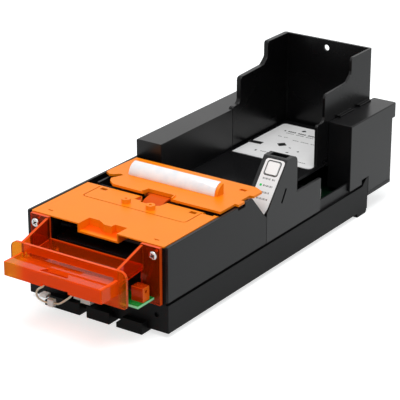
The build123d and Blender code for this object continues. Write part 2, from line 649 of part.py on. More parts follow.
cover += slab((RECESS_X[0] - RECESS_WALL, RECESS_X[1] + RECESS_WALL),
              (FRONT_Y0, RECESS_Y + RECESS_WALL), (RECESS_FLOOR_Z - RECESS_FLOOR_T, skin_z[1]))
recess = slab(RECESS_X, (FRONT_Y0 - 1, RECESS_Y), (RECESS_FLOOR_Z, DECK_Z + 1))
cover -= recess - top_plate([(BLOCK_X[0], RECESS_Y + 1), (BLOCK_X[0], RECESS_Y),
                             (BLOCK_X[1], BLOCK_Y), (BLOCK_X[2], BLOCK_Y),
                             (BLOCK_X[2], RECESS_Y + 1)], all_z)
for x in (-BOSS_X, BOSS_X):
    cover += rod_z(BOSS_R, x, BOSS_Y, (DECK_Z, DECK_Z + BOSS_RISE))
    cover -= rod_z(BOSS_HOLE_R, x, BOSS_Y, (DECK_Z + GROOVE, DECK_Z + BOSS_RISE + 1))
window_dx, window_dy = (size / 2 for size in WINDOW_SIZE)
for x in (-WINDOW_X, WINDOW_X):
    cover -= slab((x - window_dx, x + window_dx), (WINDOW_Y - window_dy, WINDOW_Y + window_dy),
                  all_z)
mark_dx, mark_dy = (size / 2 for size in MARK_SIZE)
for x in (-MARK_X, MARK_X):
    cover -= slab((x - mark_dx, x + mark_dx), (MARK_Y - mark_dy, MARK_Y + mark_dy),
                  (DECK_Z - MARK_DEPTH, DECK_Z + 1))
groove_z = (DECK_Z - GROOVE_DEPTH, DECK_Z + 1)
step_y = (STEP_Y, FRONT_HINGE_Y + 4)
step_out = slab((-STEP_HALF, STEP_HALF), step_y, groove_z)
step_out = rounded(step_out, "Z", [(-STEP_HALF, STEP_Y), (STEP_HALF, STEP_Y)], STEP_ROUND)
step_in = slab((GROOVE - STEP_HALF, STEP_HALF - GROOVE), (STEP_Y + GROOVE, step_y[1]), groove_z)
step_in = rounded(step_in, "Z", [(GROOVE - STEP_HALF, STEP_Y + GROOVE),
                                 (STEP_HALF - GROOVE, STEP_Y + GROOVE)], STEP_ROUND - GROOVE)
cover -= (step_out - step_in) & slab(front_x, (STEP_Y - 1, FRONT_HINGE_Y - 1), groove_z)
stub_x = (FRONT_HALF - HINGE_EAR, stub_end - 0.2)
for x in (stub_x, mirrored(stub_x)):
    cover -= rod_x(PIN_R, x, FRONT_HINGE_Y, HINGE_Z)
parts["front_hinge_pins"] = Compound(
    children=[rod_x(PIN_R, x, FRONT_HINGE_Y, HINGE_Z) for x in (stub_x, mirrored(stub_x))])

# Thermal head: a ceramic strip on a heat sink, pressed down by two springs.
head_roof = DECK_Z - FRONT_SKIN
head_z = path_z(PLATEN_Y) + HEAD_GAP
sink_z = head_z + HEAD_T
sink_top = sink_z + SINK_T
parts["thermal_head"] = slab((-HEAD_HALF, HEAD_HALF), HEAD_Y, (head_z, sink_z))
head_mid = (HEAD_Y[0] + HEAD_Y[1]) / 2
sink = slab((-HEAD_HALF, HEAD_HALF), HEAD_Y, (sink_z, sink_top))
pin_guide_z = (sink_z + SINK_T / 3, head_roof)
for x in (-GUIDE_PIN_X, GUIDE_PIN_X):
    sink -= rod_z(GUIDE_PIN_R + RUN_FIT, x, head_mid, (sink_z, sink_top))
    cover += rod_z(GUIDE_PIN_R, x, head_mid, pin_guide_z)
parts["front_cover"] = cover
parts["head_heat_sink"] = sink
head_springs = []
for x in (-HEAD_SPRING_X, HEAD_SPRING_X):
    coil = rod_z(HEAD_SPRING_R, x, head_mid, (sink_top, head_roof))
    head_springs.append(coil - rod_z(HEAD_SPRING_R - SPRING_WALL, x, head_mid, (sink_top, head_roof)))
parts["head_springs"] = Compound(children=head_springs)

# Rear cover: a skin that opens about its rear edge. A rib with a white strip runs across it.
rear_z = (REAR_SKIN_Z, REAR_TOP_Z)
tab_x = HALF_WIDTH - TAB_GAP
tab_inset = 0.5
left_x = -(inner - 2.3)
rear = top_plate(
    [(-33.4, REAR_COVER_Y[0]), (FRONT_HALF, REAR_COVER_Y[0]),
     (FRONT_HALF, TAB_NOTCH_Y[0] + tab_inset), (tab_x, TAB_NOTCH_Y[0] + tab_inset),
     (tab_x, TAB_NOTCH_Y[1] - tab_inset), (FRONT_HALF, TAB_NOTCH_Y[1] - tab_inset),
     (FRONT_HALF, EAR_Y[1] + 1), (tab_x, EAR_Y[1] + 1.5), (tab_x, REAR_COVER_Y[1] - 4),
     (inner - 5, REAR_COVER_Y[1]), (left_x + 1.3, REAR_COVER_Y[1]), (left_x, 83),
     (left_x, 77.8), (left_x + 4.4, 74.9), (left_x + 7.1, 75.8), (-39.9, 79.3), (-36.9, 78.3),
     (-40.9, 69.7), (-38.4, 65.6)], rear_z)
arch_x = (LATCH_MID - ARCH_HALF, LATCH_MID + ARCH_HALF)
arch_back_x = (arch_x[0] + ARCH_TAPER, arch_x[1] - ARCH_TAPER)


def arch(out, z):
    """The arch over the latch, with its sides and back moved out by an amount."""
    return top_plate([(arch_x[0] - out, REAR_COVER_Y[0] - 1), (arch_x[1] + out, REAR_COVER_Y[0] - 1),
                      (arch_back_x[1] + out, ARCH_Y + out), (arch_back_x[0] - out, ARCH_Y + out)], z)


bead_z = (REAR_TOP_Z, REAR_TOP_Z + ARCH_BEAD)
arch_front = slab((arch_x[0] - 3, arch_x[1] + 3), (REAR_COVER_Y[0], ARCH_Y + 3), bead_z)
rear += arch(ARCH_BEAD, bead_z) & arch_front
rear -= arch(0, (EXIT_Z, DECK_Z + STRIP_R))


def quarter_round(radius, x, z0=REAR_TOP_Z):
    """A bar along x with a round front and an upright back."""
    bar = rod_x(radius, x, STRIP_Y, REAR_TOP_Z)
    return bar & slab(x, (STRIP_Y - radius, STRIP_Y), (z0, REAR_TOP_Z + radius))


rib_r = STRIP_R - STRIP_T
rib_half = STRIP_HALF + RIB_END
rib_room_x = (RIB_WALL - STRIP_HALF, rib_half - RIB_WALL)
rear += quarter_round(rib_r, (-STRIP_HALF, rib_half))
under_rib = quarter_round(rib_r - RIB_WALL, rib_room_x)
under_rib &= slab(rib_room_x, (0, STRIP_Y - RIB_WALL), (0, DECK_Z + STRIP_R * 2))
rear -= under_rib
rear -= slab(rib_room_x, (STRIP_Y - rib_r + RIB_WALL, STRIP_Y - RIB_WALL),
             (REAR_SKIN_Z - 1, REAR_TOP_Z))
strip = quarter_round(STRIP_R, (-STRIP_HALF, STRIP_HALF))
parts["cover_strip"] = strip - quarter_round(rib_r, (-STRIP_HALF, STRIP_HALF))
for x in (BARREL_X, mirrored(BARREL_X)):
    rear += slab(x, (REAR_HINGE_Y - BARREL_R, REAR_HINGE_Y + BARREL_R / 2),
                 (REAR_HINGE_Z, REAR_SKIN_Z))
    rear += rod_x(BARREL_R, x, REAR_HINGE_Y, REAR_HINGE_Z)
    rear -= rod_x(PIN_R + RUN_FIT, x, REAR_HINGE_Y, REAR_HINGE_Z)
ear_right = (arch_x[1] + LATCH_EAR_GAP, arch_x[1] + LATCH_EAR_GAP + LATCH_EAR)
ear_left = (arch_x[0] - LATCH_EAR_GAP - LATCH_EAR, arch_x[0] - LATCH_EAR_GAP)
for x in (ear_right, ear_left):
    rear += slab(x, (LATCH_PIVOT[0] - LATCH_BOSS_R, LATCH_PIVOT[0] + LATCH_BOSS_R + LATCH_PIN_R),
                 (LATCH_PIVOT[1] - 2 * LATCH_PIN_R, REAR_SKIN_Z))
    rear -= rod_x(LATCH_PIN_R, x, *LATCH_PIVOT)
rear_mark_x = (FRONT_HALF - REAR_MARK_IN - REAR_MARK_SIZE[0], FRONT_HALF - REAR_MARK_IN)
rear_mark_y = (STRIP_Y + REAR_MARK_BEHIND, STRIP_Y + REAR_MARK_BEHIND + REAR_MARK_SIZE[1])
rear -= slab(rear_mark_x, rear_mark_y, (REAR_TOP_Z - MARK_DEPTH, REAR_TOP_Z + 1))
parts["rear_cover"] = rear

# Hinge of the rear cover: a bracket with two posts on the pan, and two pins.
post_y = (REAR_HINGE_Y - BARREL_R, REAR_HINGE_Y + BARREL_R)
bracket = slab((-POST_X[1], POST_X[1]), post_y, (pan_top, pan_top + FRAME_T))
bracket += both_sides(POST_X, post_y, (pan_top, REAR_HINGE_Z))
pins = []
for x in (POST_X, mirrored(POST_X)):
    bracket += rod_x(BARREL_R, x, REAR_HINGE_Y, REAR_HINGE_Z)
    bracket -= rod_x(PIN_R, x, REAR_HINGE_Y, REAR_HINGE_Z)
pin_x = (POST_X[0], BARREL_X[1] + BARREL_IN)
for x in (pin_x, mirrored(pin_x)):
    pins.append(rod_x(PIN_R, x, REAR_HINGE_Y, REAR_HINGE_Z))
parts["hinge_bracket"] = bracket
parts["rear_hinge_pins"] = Compound(children=pins)

# Cover latch: a curved thumb lever whose barb catches under the latch bar.
pivot_y, pivot_z = LATCH_PIVOT
latch_x = (LATCH_MID - LATCH_HALF, LATCH_MID + LATCH_HALF)
top_z = pivot_z + LATCH_BOSS_R
tip = (LATCH_TIP_Y, pivot_z - LATCH_TIP_DROP)
crest = (LATCH_CREST_Y, top_z - LATCH_CREST_DROP)
under_tip = (tip[0] + LATCH_T * 0.7, tip[1] - LATCH_T * 0.75)
thumb = make_face(
    ThreePointArc((latch_x[0], pivot_y, top_z), (latch_x[0], *crest), (latch_x[0], *tip))
    + Line((latch_x[0], *tip), (latch_x[0], *under_tip))
    + ThreePointArc((latch_x[0], *under_tip), (latch_x[0], crest[0], crest[1] - LATCH_T),
                    (latch_x[0], pivot_y, top_z - LATCH_T))
    + Line((latch_x[0], pivot_y, top_z - LATCH_T), (latch_x[0], pivot_y, top_z)))
latch = extrude(thumb, amount=latch_x[1] - latch_x[0], dir=(1, 0, 0))
latch += rod_x(LATCH_BOSS_R, arch_x, pivot_y, pivot_z)
barb_z = LATCH_BAR[1] - LATCH_BAR_R - BARB_GAP
stem_y = (pivot_y - LATCH_T / 2, pivot_y + LATCH_T / 2)
latch += slab(latch_x, stem_y, (barb_z - BARB_T, pivot_z))
latch += slab(latch_x, (LATCH_BAR[0] + LATCH_BAR_R / 2, pivot_y), (barb_z - BARB_T, barb_z))
latch -= rod_x(LATCH_PIN_R + RUN_FIT, arch_x, pivot_y, pivot_z)
parts["cover_latch"] = latch
parts["latch_pin"] = rod_x(LATCH_PIN_R, (ear_left[0], ear_right[1]), pivot_y, pivot_z)

# Tray bed: the floor under the ticket pack, with a low front wall and four legs.
tray_out = TRAY_HALF + WALL
bed_z = (TRAY_FLOOR_Z - WALL, TRAY_FLOOR_Z)
bed = slab((-tray_out, tray_out), (TRAY_FRONT_Y, REAR_Y - WALL), bed_z)
bed += slab((-tray_out, tray_out), (TRAY_FRONT_Y, TRAY_FRONT_Y + WALL),
            (TRAY_FLOOR_Z, TRAY_WALL_TOP))
bed = rounded(bed, "X", [(TRAY_FRONT_Y + WALL, TRAY_WALL_TOP), (TRAY_FRONT_Y, TRAY_WALL_TOP)],
              WALL / 2 - 0.1)
leg_x = tray_out - STANDOFF_R
for x in (-leg_x, leg_x):
    bed += rod_z(STANDOFF_R, x, LEG_Y[0], (pan_top, bed_z[0]))
    bed += rod_z(STANDOFF_R, x, LEG_Y[1], (PAN_REAR_TOP, bed_z[0]))
parts["tray_bed"] = bed


def cap(x, corner_x):
    """The hollow cap that reaches back past the rear face, over the box or the rail."""
    block = slab(x, (REAR_Y, REAR_Y + CAP_DEPTH), (CAP_Z0, RAIL_TOP))
    block = rounded(block, "Z", [(corner_x, REAR_Y + CAP_DEPTH)], CAP_ROUND)
    return block


def cap_hollow(x):
    """The inside of a cap, which opens into the box or the rail."""
    return slab((x[0] + WALL, x[1] - WALL), (REAR_Y - WALL, REAR_Y + CAP_DEPTH - WALL),
                (CAP_Z0 + WALL, RAIL_TOP - WALL))


# Left rail cover: a long box that closes the left side beside the tray.
left_out = -TRAY_HALF - HOPPER_LEFT_T
hook_notch_y = (BASE_LENGTH - HOOK_L - 1, BASE_LENGTH + HOOK_ROOM)
hook_notch_z = (0, BASE_TOP + HOOK_RISE + HOOK_ROOM)
below_y = (RAIL_Y - 1, BASE_LENGTH + HOOK_ROOM)
rail = slab((-HALF_WIDTH, -inner), (RAIL_Y, REAR_Y), (PAN_REAR_TOP, RAIL_TOP))
rail -= slab((-HALF_WIDTH - 1, 1 - inner), below_y, (0, side_z))
rail -= slab((-HALF_WIDTH - 1, 1 - inner), hook_notch_y, hook_notch_z)
rail += slab((-HALF_WIDTH, -TRAY_HALF), (RAIL_Y, HOPPER_Y - CLEAR),
             (RAIL_TOP - WALL, RAIL_TOP))
rail += slab((-HALF_WIDTH, left_out), (RAIL_Y, REAR_Y), (RAIL_TOP - WALL, RAIL_TOP))
rail += slab((-HALF_WIDTH, left_out), (RAIL_Y, RAIL_Y + WALL), (side_z, RAIL_TOP))
rail += slab((-HALF_WIDTH, -TRAY_HALF), (RAIL_Y, RAIL_Y + WALL), (TRAY_FLOOR_Z, RAIL_TOP))
rail += slab((-tray_out, -TRAY_HALF), (RAIL_Y, HOPPER_Y - CLEAR), (TRAY_FLOOR_Z, RAIL_TOP))
rail += slab((-HALF_WIDTH, left_out), (REAR_Y - WALL, REAR_Y), (side_z, RAIL_TOP))
rail -= slab(mirrored(flange_room_x), (RAIL_Y - 1, BASE_LENGTH + 1), (0, flange_room_z))
rail += cap((-HALF_WIDTH, left_out), -HALF_WIDTH)
rail -= cap_hollow((-HALF_WIDTH, left_out))
rail = rounded(rail, "Y", [(-HALF_WIDTH, RAIL_TOP)], RAIL_ROUND)
parts["left_rail_cover"] = rail

# Rear box cover: the shorter box at the right, with room for the hooks of the base.
box = slab((inner, HALF_WIDTH), (BOX_Y, REAR_Y), (PAN_REAR_TOP, RAIL_TOP))
box -= slab((inner - 1, HALF_WIDTH + 1), below_y, (0, side_z))
box -= slab((inner - 1, HALF_WIDTH + 1), hook_notch_y, hook_notch_z)
box += slab((tray_out, HALF_WIDTH), (BOX_Y, REAR_Y), (RAIL_TOP - WALL, RAIL_TOP))
box += slab((tray_out, HALF_WIDTH), (BOX_Y, BOX_Y + WALL), (side_z, RAIL_TOP))
box += slab((tray_out, HALF_WIDTH), (REAR_Y - WALL, REAR_Y), (side_z, RAIL_TOP))
box -= slab(flange_room_x, (BOX_Y - 1, BASE_LENGTH + 1), (0, flange_room_z))
box += cap((tray_out, HALF_WIDTH), HALF_WIDTH)
box -= cap_hollow((tray_out, HALF_WIDTH))
box = rounded(box, "Y", [(HALF_WIDTH, RAIL_TOP)], RAIL_ROUND)
parts["rear_box_cover"] = box

# Hopper: three thin walls round the ticket pack, stepped down towards the front.
hopper_side = [
    (HOPPER_Y, TRAY_FLOOR_Z), (HOPPER_Y, HOPPER_LOW_Z), (HOPPER_STEP_Y, HOPPER_LOW_Z),
    (HOPPER_STEP_Y, HOPPER_SHOULDER_Z),
    (HOPPER_BACK_Y - SHOULDER_RUN, HOPPER_SHOULDER_Z + SHOULDER_RISE),
    (HOPPER_BACK_Y, HOPPER_SHOULDER_Z + SHOULDER_RUN), (HOPPER_BACK_Y, HOPPER_TOP),
    (REAR_Y, HOPPER_TOP), (REAR_Y, TRAY_FLOOR_Z)]
hopper_radii = [2.0, 4.0, 3.0, 4.0, 4.0, 2.5]


def hopper_wall(x):
    """One side wall of the hopper with its corners rounded."""
    wall = side_plate(hopper_side, x)
    for corner, radius in zip(hopper_side[1:7], hopper_radii):
        wall = rounded(wall, "X", [corner], radius)
    return wall


hopper = hopper_wall((TRAY_HALF, tray_out)) + hopper_wall((left_out, -TRAY_HALF))
hopper += slab((left_out, tray_out), (REAR_Y - WALL, REAR_Y), (TRAY_FLOOR_Z, HOPPER_TOP))
hopper -= rod_y(HOPPER_HOLE_R, HOPPER_HOLE_X, (REAR_Y - WALL - 1, REAR_Y + 1), HOPPER_HOLE_Z)
for tab in HOPPER_TABS:
    tab_y = (REAR_Y - tab[0], REAR_Y - tab[1])
    hopper += slab((tray_out - 0.5, tray_out + TAB_REACH), tab_y, (RAIL_TOP, RAIL_TOP + TAB_T))
upright = [edge for edge in hopper.edges().filter_by(Axis.Z)
           if abs(edge.center().Y - REAR_Y) < TOUCH
           and (abs(edge.center().X - tray_out) < TOUCH or abs(edge.center().X - left_out) < TOUCH)]
hopper = fillet(upright, HOPPER_BACK_ROUND * 0.6)
parts["hopper"] = hopper

# Label on the tray floor.
floor_label = slab(LABEL_X, LABEL_Y, (TRAY_FLOOR_Z, TRAY_FLOOR_Z + LABEL_T))
floor_label = rounded(floor_label, "Z", [(LABEL_X[1], LABEL_Y[0]), (LABEL_X[0], LABEL_Y[1]),
                                         (LABEL_X[1], LABEL_Y[1])], LABEL_ROUND)
parts["floor_label"] = floor_label

# Control tower: a hollow housing with a sloping face and a low wall behind it.
slope = (cos(TOWER_TILT), sin(TOWER_TILT))
normal = (-slope[1], slope[0])


def on_face(s, out=0.0):
    """The (y, z) place at a distance up the sloping face and a height off it."""
    return (FACE_Y0 + s * slope[0] + out * normal[0], TRAY_FLOOR_Z + s * slope[1] + out * normal[1])


def off_face(x, s, out):
    """A box that lies along the sloping face."""
    y, z = on_face((s[0] + s[1]) / 2, (out[0] + out[1]) / 2)
    middle = Pos((x[0] + x[1]) / 2, y, z) * Rot(degrees(TOWER_TILT), 0, 0)
    return middle * Box(x[1] - x[0], s[1] - s[0], out[1] - out[0])


foot_s = (TOWER_FOOT_Y - FACE_Y0) / slope[0]
top_s = (TOWER_TOP - TRAY_FLOOR_Z) / slope[1]
tower_outline = [(TOWER_FOOT_Y, side_z), on_face(foot_s), on_face(top_s),
                 (TOWER_BACK_Y, TOWER_TOP), (TOWER_BACK_Y, side_z)]
tower_x = (TOWER_X0, HALF_WIDTH)
tower = side_plate(tower_outline, tower_x)
tower = rounded(tower, "X", [on_face(top_s)], FACE_ROUND)
tower = rounded(tower, "X", [(TOWER_BACK_Y, TOWER_TOP)], TOWER_ROUND)
hollow_foot_s = (TOWER_FOOT_Y + WALL - FACE_Y0 - WALL * slope[1]) / slope[0]
hollow_top_s = (TOWER_TOP - WALL - TRAY_FLOOR_Z + WALL * slope[0]) / slope[1]
hollow_outline = [(TOWER_FOOT_Y + WALL, side_z - 1), on_face(hollow_foot_s, -WALL),
                  on_face(hollow_top_s, -WALL), (TOWER_BACK_Y - WALL, TOWER_TOP - WALL),
                  (TOWER_BACK_Y - WALL, side_z - 1)]
tower_hollow = side_plate(hollow_outline, (TOWER_X0 + WALL, HALF_WIDTH - WALL))
tower_hollow = rounded(tower_hollow, "X", [(TOWER_BACK_Y - WALL, TOWER_TOP - WALL)],
                       TOWER_ROUND - WALL)
tower -= tower_hollow
tower -= slab(flange_room_x, (SEAM_Y, TOWER_BACK_Y + 1), (0, flange_room_z))
tower += slab((inner, HALF_WIDTH), (TOWER_BACK_Y - 1, TOWER_BACK_Y + LOW_WALL_L),
              (side_z, LOW_WALL_TOP))
tower -= slab((TOWER_X0 + WALL + TOP_SLOT_END, inner - TOP_SLOT_END),
              (TOWER_BACK_Y - TOP_SLOT_IN[1], TOWER_BACK_Y - TOP_SLOT_IN[0]),
              (TOWER_TOP - 2 * WALL, TOWER_TOP + 1))
slot_run = SIDE_SLOT_Y[1] - SIDE_SLOT_Y[0]
slot_rise = SIDE_SLOT_Z[1] - SIDE_SLOT_Z[0]
slot_middle = Pos(HALF_WIDTH - WALL / 2, sum(SIDE_SLOT_Y) / 2, sum(SIDE_SLOT_Z) / 2)
slot_turn = Rot(degrees(atan2(slot_rise, slot_run)), 0, 0)
tower -= slot_middle * slot_turn * Box(WALL + 1, hypot(slot_run, slot_rise), SIDE_SLOT_W)
button_x0 = (FACE_LABEL_X[0] + FACE_LABEL_X[1]) / 2
button_half = BUTTON_SIZE / 2
button_x = (button_x0 - button_half, button_x0 + button_half)
button_s = (BUTTON_S - button_half, BUTTON_S + button_half)
hole_x = (button_x[0] - BUTTON_GAP, button_x[1] + BUTTON_GAP)
hole_s = (button_s[0] - BUTTON_GAP, button_s[1] + BUTTON_GAP)
tower -= off_face(hole_x, hole_s, (-WALL - 1, 1))
lamp_y, lamp_z = on_face(LAMP_S)
lamp_seat = Pos(LAMP_X, lamp_y, lamp_z) * Rot(degrees(TOWER_TILT), 0, 0)
tower -= lamp_seat * Cylinder(LAMP_R, 4 * WALL)
parts["tower_housing"] = tower

# What the tower face carries: its label, the feed button and the status lamp.
label = off_face(FACE_LABEL_X, FACE_LABEL_S, (0, FACE_LABEL_T))
label -= off_face(hole_x, hole_s, (-1, 1))
label -= lamp_seat * Cylinder(LAMP_R, 2 * WALL)
parts["tower_label"] = label
switch_out = -WALL - SWITCH_DEPTH
flange_out = (-WALL - RUN_FIT - 1.0, -WALL - RUN_FIT)
button = off_face(button_x, button_s, (flange_out[1], FACE_LABEL_T + BUTTON_PROUD))
button_edges = [edge for edge in button.edges() if abs(edge.length - (
    FACE_LABEL_T + BUTTON_PROUD - flange_out[1])) < TOUCH]
button = fillet(button_edges, BUTTON_ROUND)
button += off_face((hole_x[0] - BUTTON_FLANGE, hole_x[1] + BUTTON_FLANGE),
                   (hole_s[0] - BUTTON_FLANGE, hole_s[1] + BUTTON_FLANGE), flange_out)
parts["feed_button"] = button
board_out = (switch_out - BOARD_T, switch_out)
board_x = (TOWER_X0 + WALL, HALF_WIDTH - WALL)
parts["switch_board"] = off_face(board_x, SWITCH_BOARD_S, board_out)


def along_normal(radius, x, s, out):
    """A round bar square to the sloping face."""
    y, z = on_face(s, (out[0] + out[1]) / 2)
    return Pos(x, y, z) * Rot(degrees(TOWER_TILT), 0, 0) * Cylinder(radius, out[1] - out[0])


plunger_top = flange_out[0] - BUTTON_TRAVEL - RUN_FIT
case_top = switch_out + SWITCH_CASE
case = off_face((button_x0 - SWITCH_HALF, button_x0 + SWITCH_HALF),
                (BUTTON_S - SWITCH_HALF, BUTTON_S + SWITCH_HALF), (switch_out, case_top))
parts["tact_switch"] = case + along_normal(PLUNGER_R, button_x0, BUTTON_S, (case_top, plunger_top))
lamp = along_normal(LAMP_R - 0.02, LAMP_X, LAMP_S, (switch_out, FACE_LABEL_T + 0.1))
parts["status_lamp"] = lamp

# Bezel: flanges on the front panel, cheeks, an apron with the slot, and the lip.
bezel = both_sides(FLANGE_X, (-FLANGE_T, 0), FLANGE_Z)
cheek = side_plate([(0, FLANGE_Z[1]), (-APRON_Y, APRON_Z[1]), (-APRON_Y, SHELF_Z - BEZEL_T),
                    (0, SHELF_Z - BEZEL_T)], (CHEEK_X - BEZEL_T, CHEEK_X))
bezel += cheek + mirror(cheek, about=Plane.YZ)
apron = slab(APRON_X, (-APRON_Y, BEZEL_T - APRON_Y), APRON_Z)
for z, radius in zip(APRON_Z, APRON_ROUND):
    apron = rounded(apron, "Y", [(x, z) for x in APRON_X], radius)
bezel += apron
bezel -= slab((-SLOT_HALF, SLOT_HALF), (-APRON_Y - 1, BEZEL_T - APRON_Y + 1), SLOT_Z)
shelf = side_plate([(-CLEAR, SHELF_Z - BEZEL_T), (-CLEAR, SHELF_Z),
                    (BEZEL_T - APRON_Y, SLOT_Z[0]),
                    (BEZEL_T - APRON_Y, SLOT_Z[0] - BEZEL_T)], (-CHEEK_X, CHEEK_X))
bezel += shelf
lip_x = (-CHEEK_X, CHEEK_X)
lip = slab(lip_x, (-LIP_Y, BEZEL_T - LIP_Y), LIP_Z)
ledge_z = (LIP_Z[1] - BEZEL_T, LIP_Z[1])
lip += slab(lip_x, (-LIP_Y, LEDGE - LIP_Y), ledge_z)
lip += slab(lip_x, (LEDGE - BEZEL_T - LIP_Y, LEDGE - LIP_Y),
            (SLOT_Z[0] - BEZEL_T, LIP_Z[1]))
lip += slab(lip_x, (LEDGE - BEZEL_T - LIP_Y, -APRON_Y), (SLOT_Z[0] - BEZEL_T, SLOT_Z[0]))
lip += both_sides((CHEEK_X - BEZEL_T, CHEEK_X), (-LIP_Y, -APRON_Y), LIP_Z)
lip -= top_plate([(-NOTCH_FRONT_HALF, BEZEL_T - LIP_Y), (NOTCH_FRONT_HALF, BEZEL_T - LIP_Y),
                  (NOTCH_REAR_HALF, LEDGE - LIP_Y + 0.5),
                  (-NOTCH_REAR_HALF, LEDGE - LIP_Y + 0.5)], (LIP_Z[0], LIP_Z[1] + 1))
lip -= slab(LIP_CUT_X, (-LIP_Y - 1, BEZEL_T - LIP_Y), (LIP_Z[0] - 1, LIP_Z[0] + BEZEL_T))
lip = rounded(lip, "X", [(-LIP_Y, LIP_Z[1])], 0.6)
lip = rounded(lip, "Z", [(-CHEEK_X, -LIP_Y), (CHEEK_X, -LIP_Y)], 1.0)
bezel += lip
for x in (-SCREW_X, SCREW_X):
    bezel -= rod_y(BEZEL_SCREW_R + BEZEL_SCREW_GAP, x, (-FLANGE_T - 1, 1), BEZEL_SCREW_Z)
    bezel -= slab((x + VENT_X[0], x + VENT_X[1]), (-FLANGE_T - 1, 1),
                  (BEZEL_SCREW_Z + VENT_Z[0], BEZEL_SCREW_Z + VENT_Z[1]))
board_top = BOARD_Z + BOARD_T
for x in STUD_X:
    bezel += rod_z(STUD_R, x, STUD_Y, (board_top, SHELF_Z - BEZEL_T))
parts["bezel"] = bezel
screws = []
cross_y = (-FLANGE_T - SCREW_HEAD_T - 1, -FLANGE_T - SCREW_HEAD_T / 2)
for x in (-SCREW_X, SCREW_X):
    screw = rod_y(BEZEL_SCREW_R, x, (-FLANGE_T, WALL + 2), BEZEL_SCREW_Z)
    screw += rod_y(SCREW_HEAD_R, x, (-FLANGE_T - SCREW_HEAD_T, -FLANGE_T), BEZEL_SCREW_Z)
    for dx, dz in (SCREW_CROSS, SCREW_CROSS[::-1]):
        screw -= slab((x - dx, x + dx), cross_y, (BEZEL_SCREW_Z - dz, BEZEL_SCREW_Z + dz))
    screws.append(screw)
parts["bezel_screws"] = Compound(children=screws)

# Bezel board with the hood of the exit sensor and two lamps.
parts["bezel_board"] = slab(BOARD_X, BOARD_Y, (BOARD_Z, board_top))
hood = slab(HOOD_X, HOOD_Y, (board_top, HOOD_TOP))
hood -= slab((HOOD_X[0] + HOOD_WALL, HOOD_X[1] - HOOD_WALL),
             (HOOD_Y[0] + HOOD_WALL, HOOD_Y[1] - HOOD_WALL), (board_top, HOOD_TOP - HOOD_WALL))
hood -= rod_x(HOOD_HOLE_R, (HOOD_X[1] - 2, HOOD_X[1] + 1), sum(HOOD_Y) / 2,
              HOOD_TOP - 2 * HOOD_WALL)
parts["sensor_hood"] = hood
lamps = [Pos(x, LAMP_Y, board_top + LAMP_SIZE[2] / 2) * Box(*LAMP_SIZE)
         for x in (-LAMP_PITCH, 0, LAMP_PITCH)]
parts["bezel_lamps"] = Compound(children=lamps)

# Sockets under the bezel board, the inline plug, and the beige lead between them.
sockets = [slab((x - SOCKET_SIZE[0] / 2, x + SOCKET_SIZE[0] / 2),
                (LEAD_Y - SOCKET_SIZE[1] / 2, LEAD_Y + SOCKET_SIZE[1] / 2),
                (BOARD_Z - SOCKET_SIZE[2], BOARD_Z)) for x in SOCKET_X]
parts["lead_sockets"] = Compound(children=sockets)
plug = slab(PLUG_X, (LEAD_Y - PLUG_DEPTH / 2, LEAD_Y + PLUG_DEPTH / 2), PLUG_Z)
parts["lead_plug"] = rounded(plug, "X", [(LEAD_Y - PLUG_DEPTH / 2, PLUG_Z[1])], 0.8)
lead_exit_z = BOARD_Z - SOCKET_SIZE[2]
LEFT_LEAD = [(SOCKET_X[0], LEAD_Y, lead_exit_z), (SOCKET_X[0], LEAD_Y, 18.6),
             (-35.0, LEAD_Y, 16.6), (-38.0, LEAD_Y, 12.6), (-36.4, LEAD_Y, 9.0),
             (-32.0, LEAD_Y, 7.9), (PLUG_X[0], LEAD_Y, 7.9)]
RIGHT_LEAD = [(PLUG_X[1], LEAD_Y, 9.2), (-19.4, LEAD_Y, 9.2), (-14.2, LEAD_Y, 13.2),
              (-9.9, LEAD_Y, 16.8), (SOCKET_X[1], LEAD_Y, 18.9),
              (SOCKET_X[1], LEAD_Y, lead_exit_z)]


def lead_tube(points):
    """A round lead along straight runs joined by tangent arcs, as large as the runs allow."""
    spots = [Vector(*point) for point in points]
    radii = []
    for before, here, after in zip(spots, spots[1:], spots[2:]):
        turn = radians((here - before).get_angle(after - here))
        run = min((here - before).length, (after - here).length)
        radii.append(0.45 * run / tan(turn / 2))
    route = FilletPolyline(*spots, radius=radii)
    start = Plane(origin=spots[0], z_dir=spots[1] - spots[0])
    tube = sweep(start * Circle(LEAD_D / 2), path=route)
    print("lead: length", round(route.length, 2), "radii", [round(r, 1) for r in radii],
          "volume over section times length",
          round(tube.volume / (route.length * pi * LEAD_D ** 2 / 4), 4))
    return tube


parts["lead_left"] = lead_tube(LEFT_LEAD)
parts["lead_right"] = lead_tube(RIGHT_LEAD)

# Harness board behind the window of the base, with its two white connectors.
harness_y = (WALL + HARNESS_GAP, WALL + HARNESS_GAP + HARNESS_T)
parts["harness_board"] = slab((FRONT_WINDOW_X[0] + 2, FRONT_WINDOW_X[1] - 1), harness_y,
                              (FOOT + WALL, PAN_Z))
connectors = [slab(x, (y, harness_y[0]), z) for x, y, z in FRONT_CONNECTORS]
side_x, side_front, side_height = SIDE_CONNECTOR
connectors.append(slab(side_x, (side_front, 0), side_height))
parts["front_connectors"] = Compound(children=connectors)

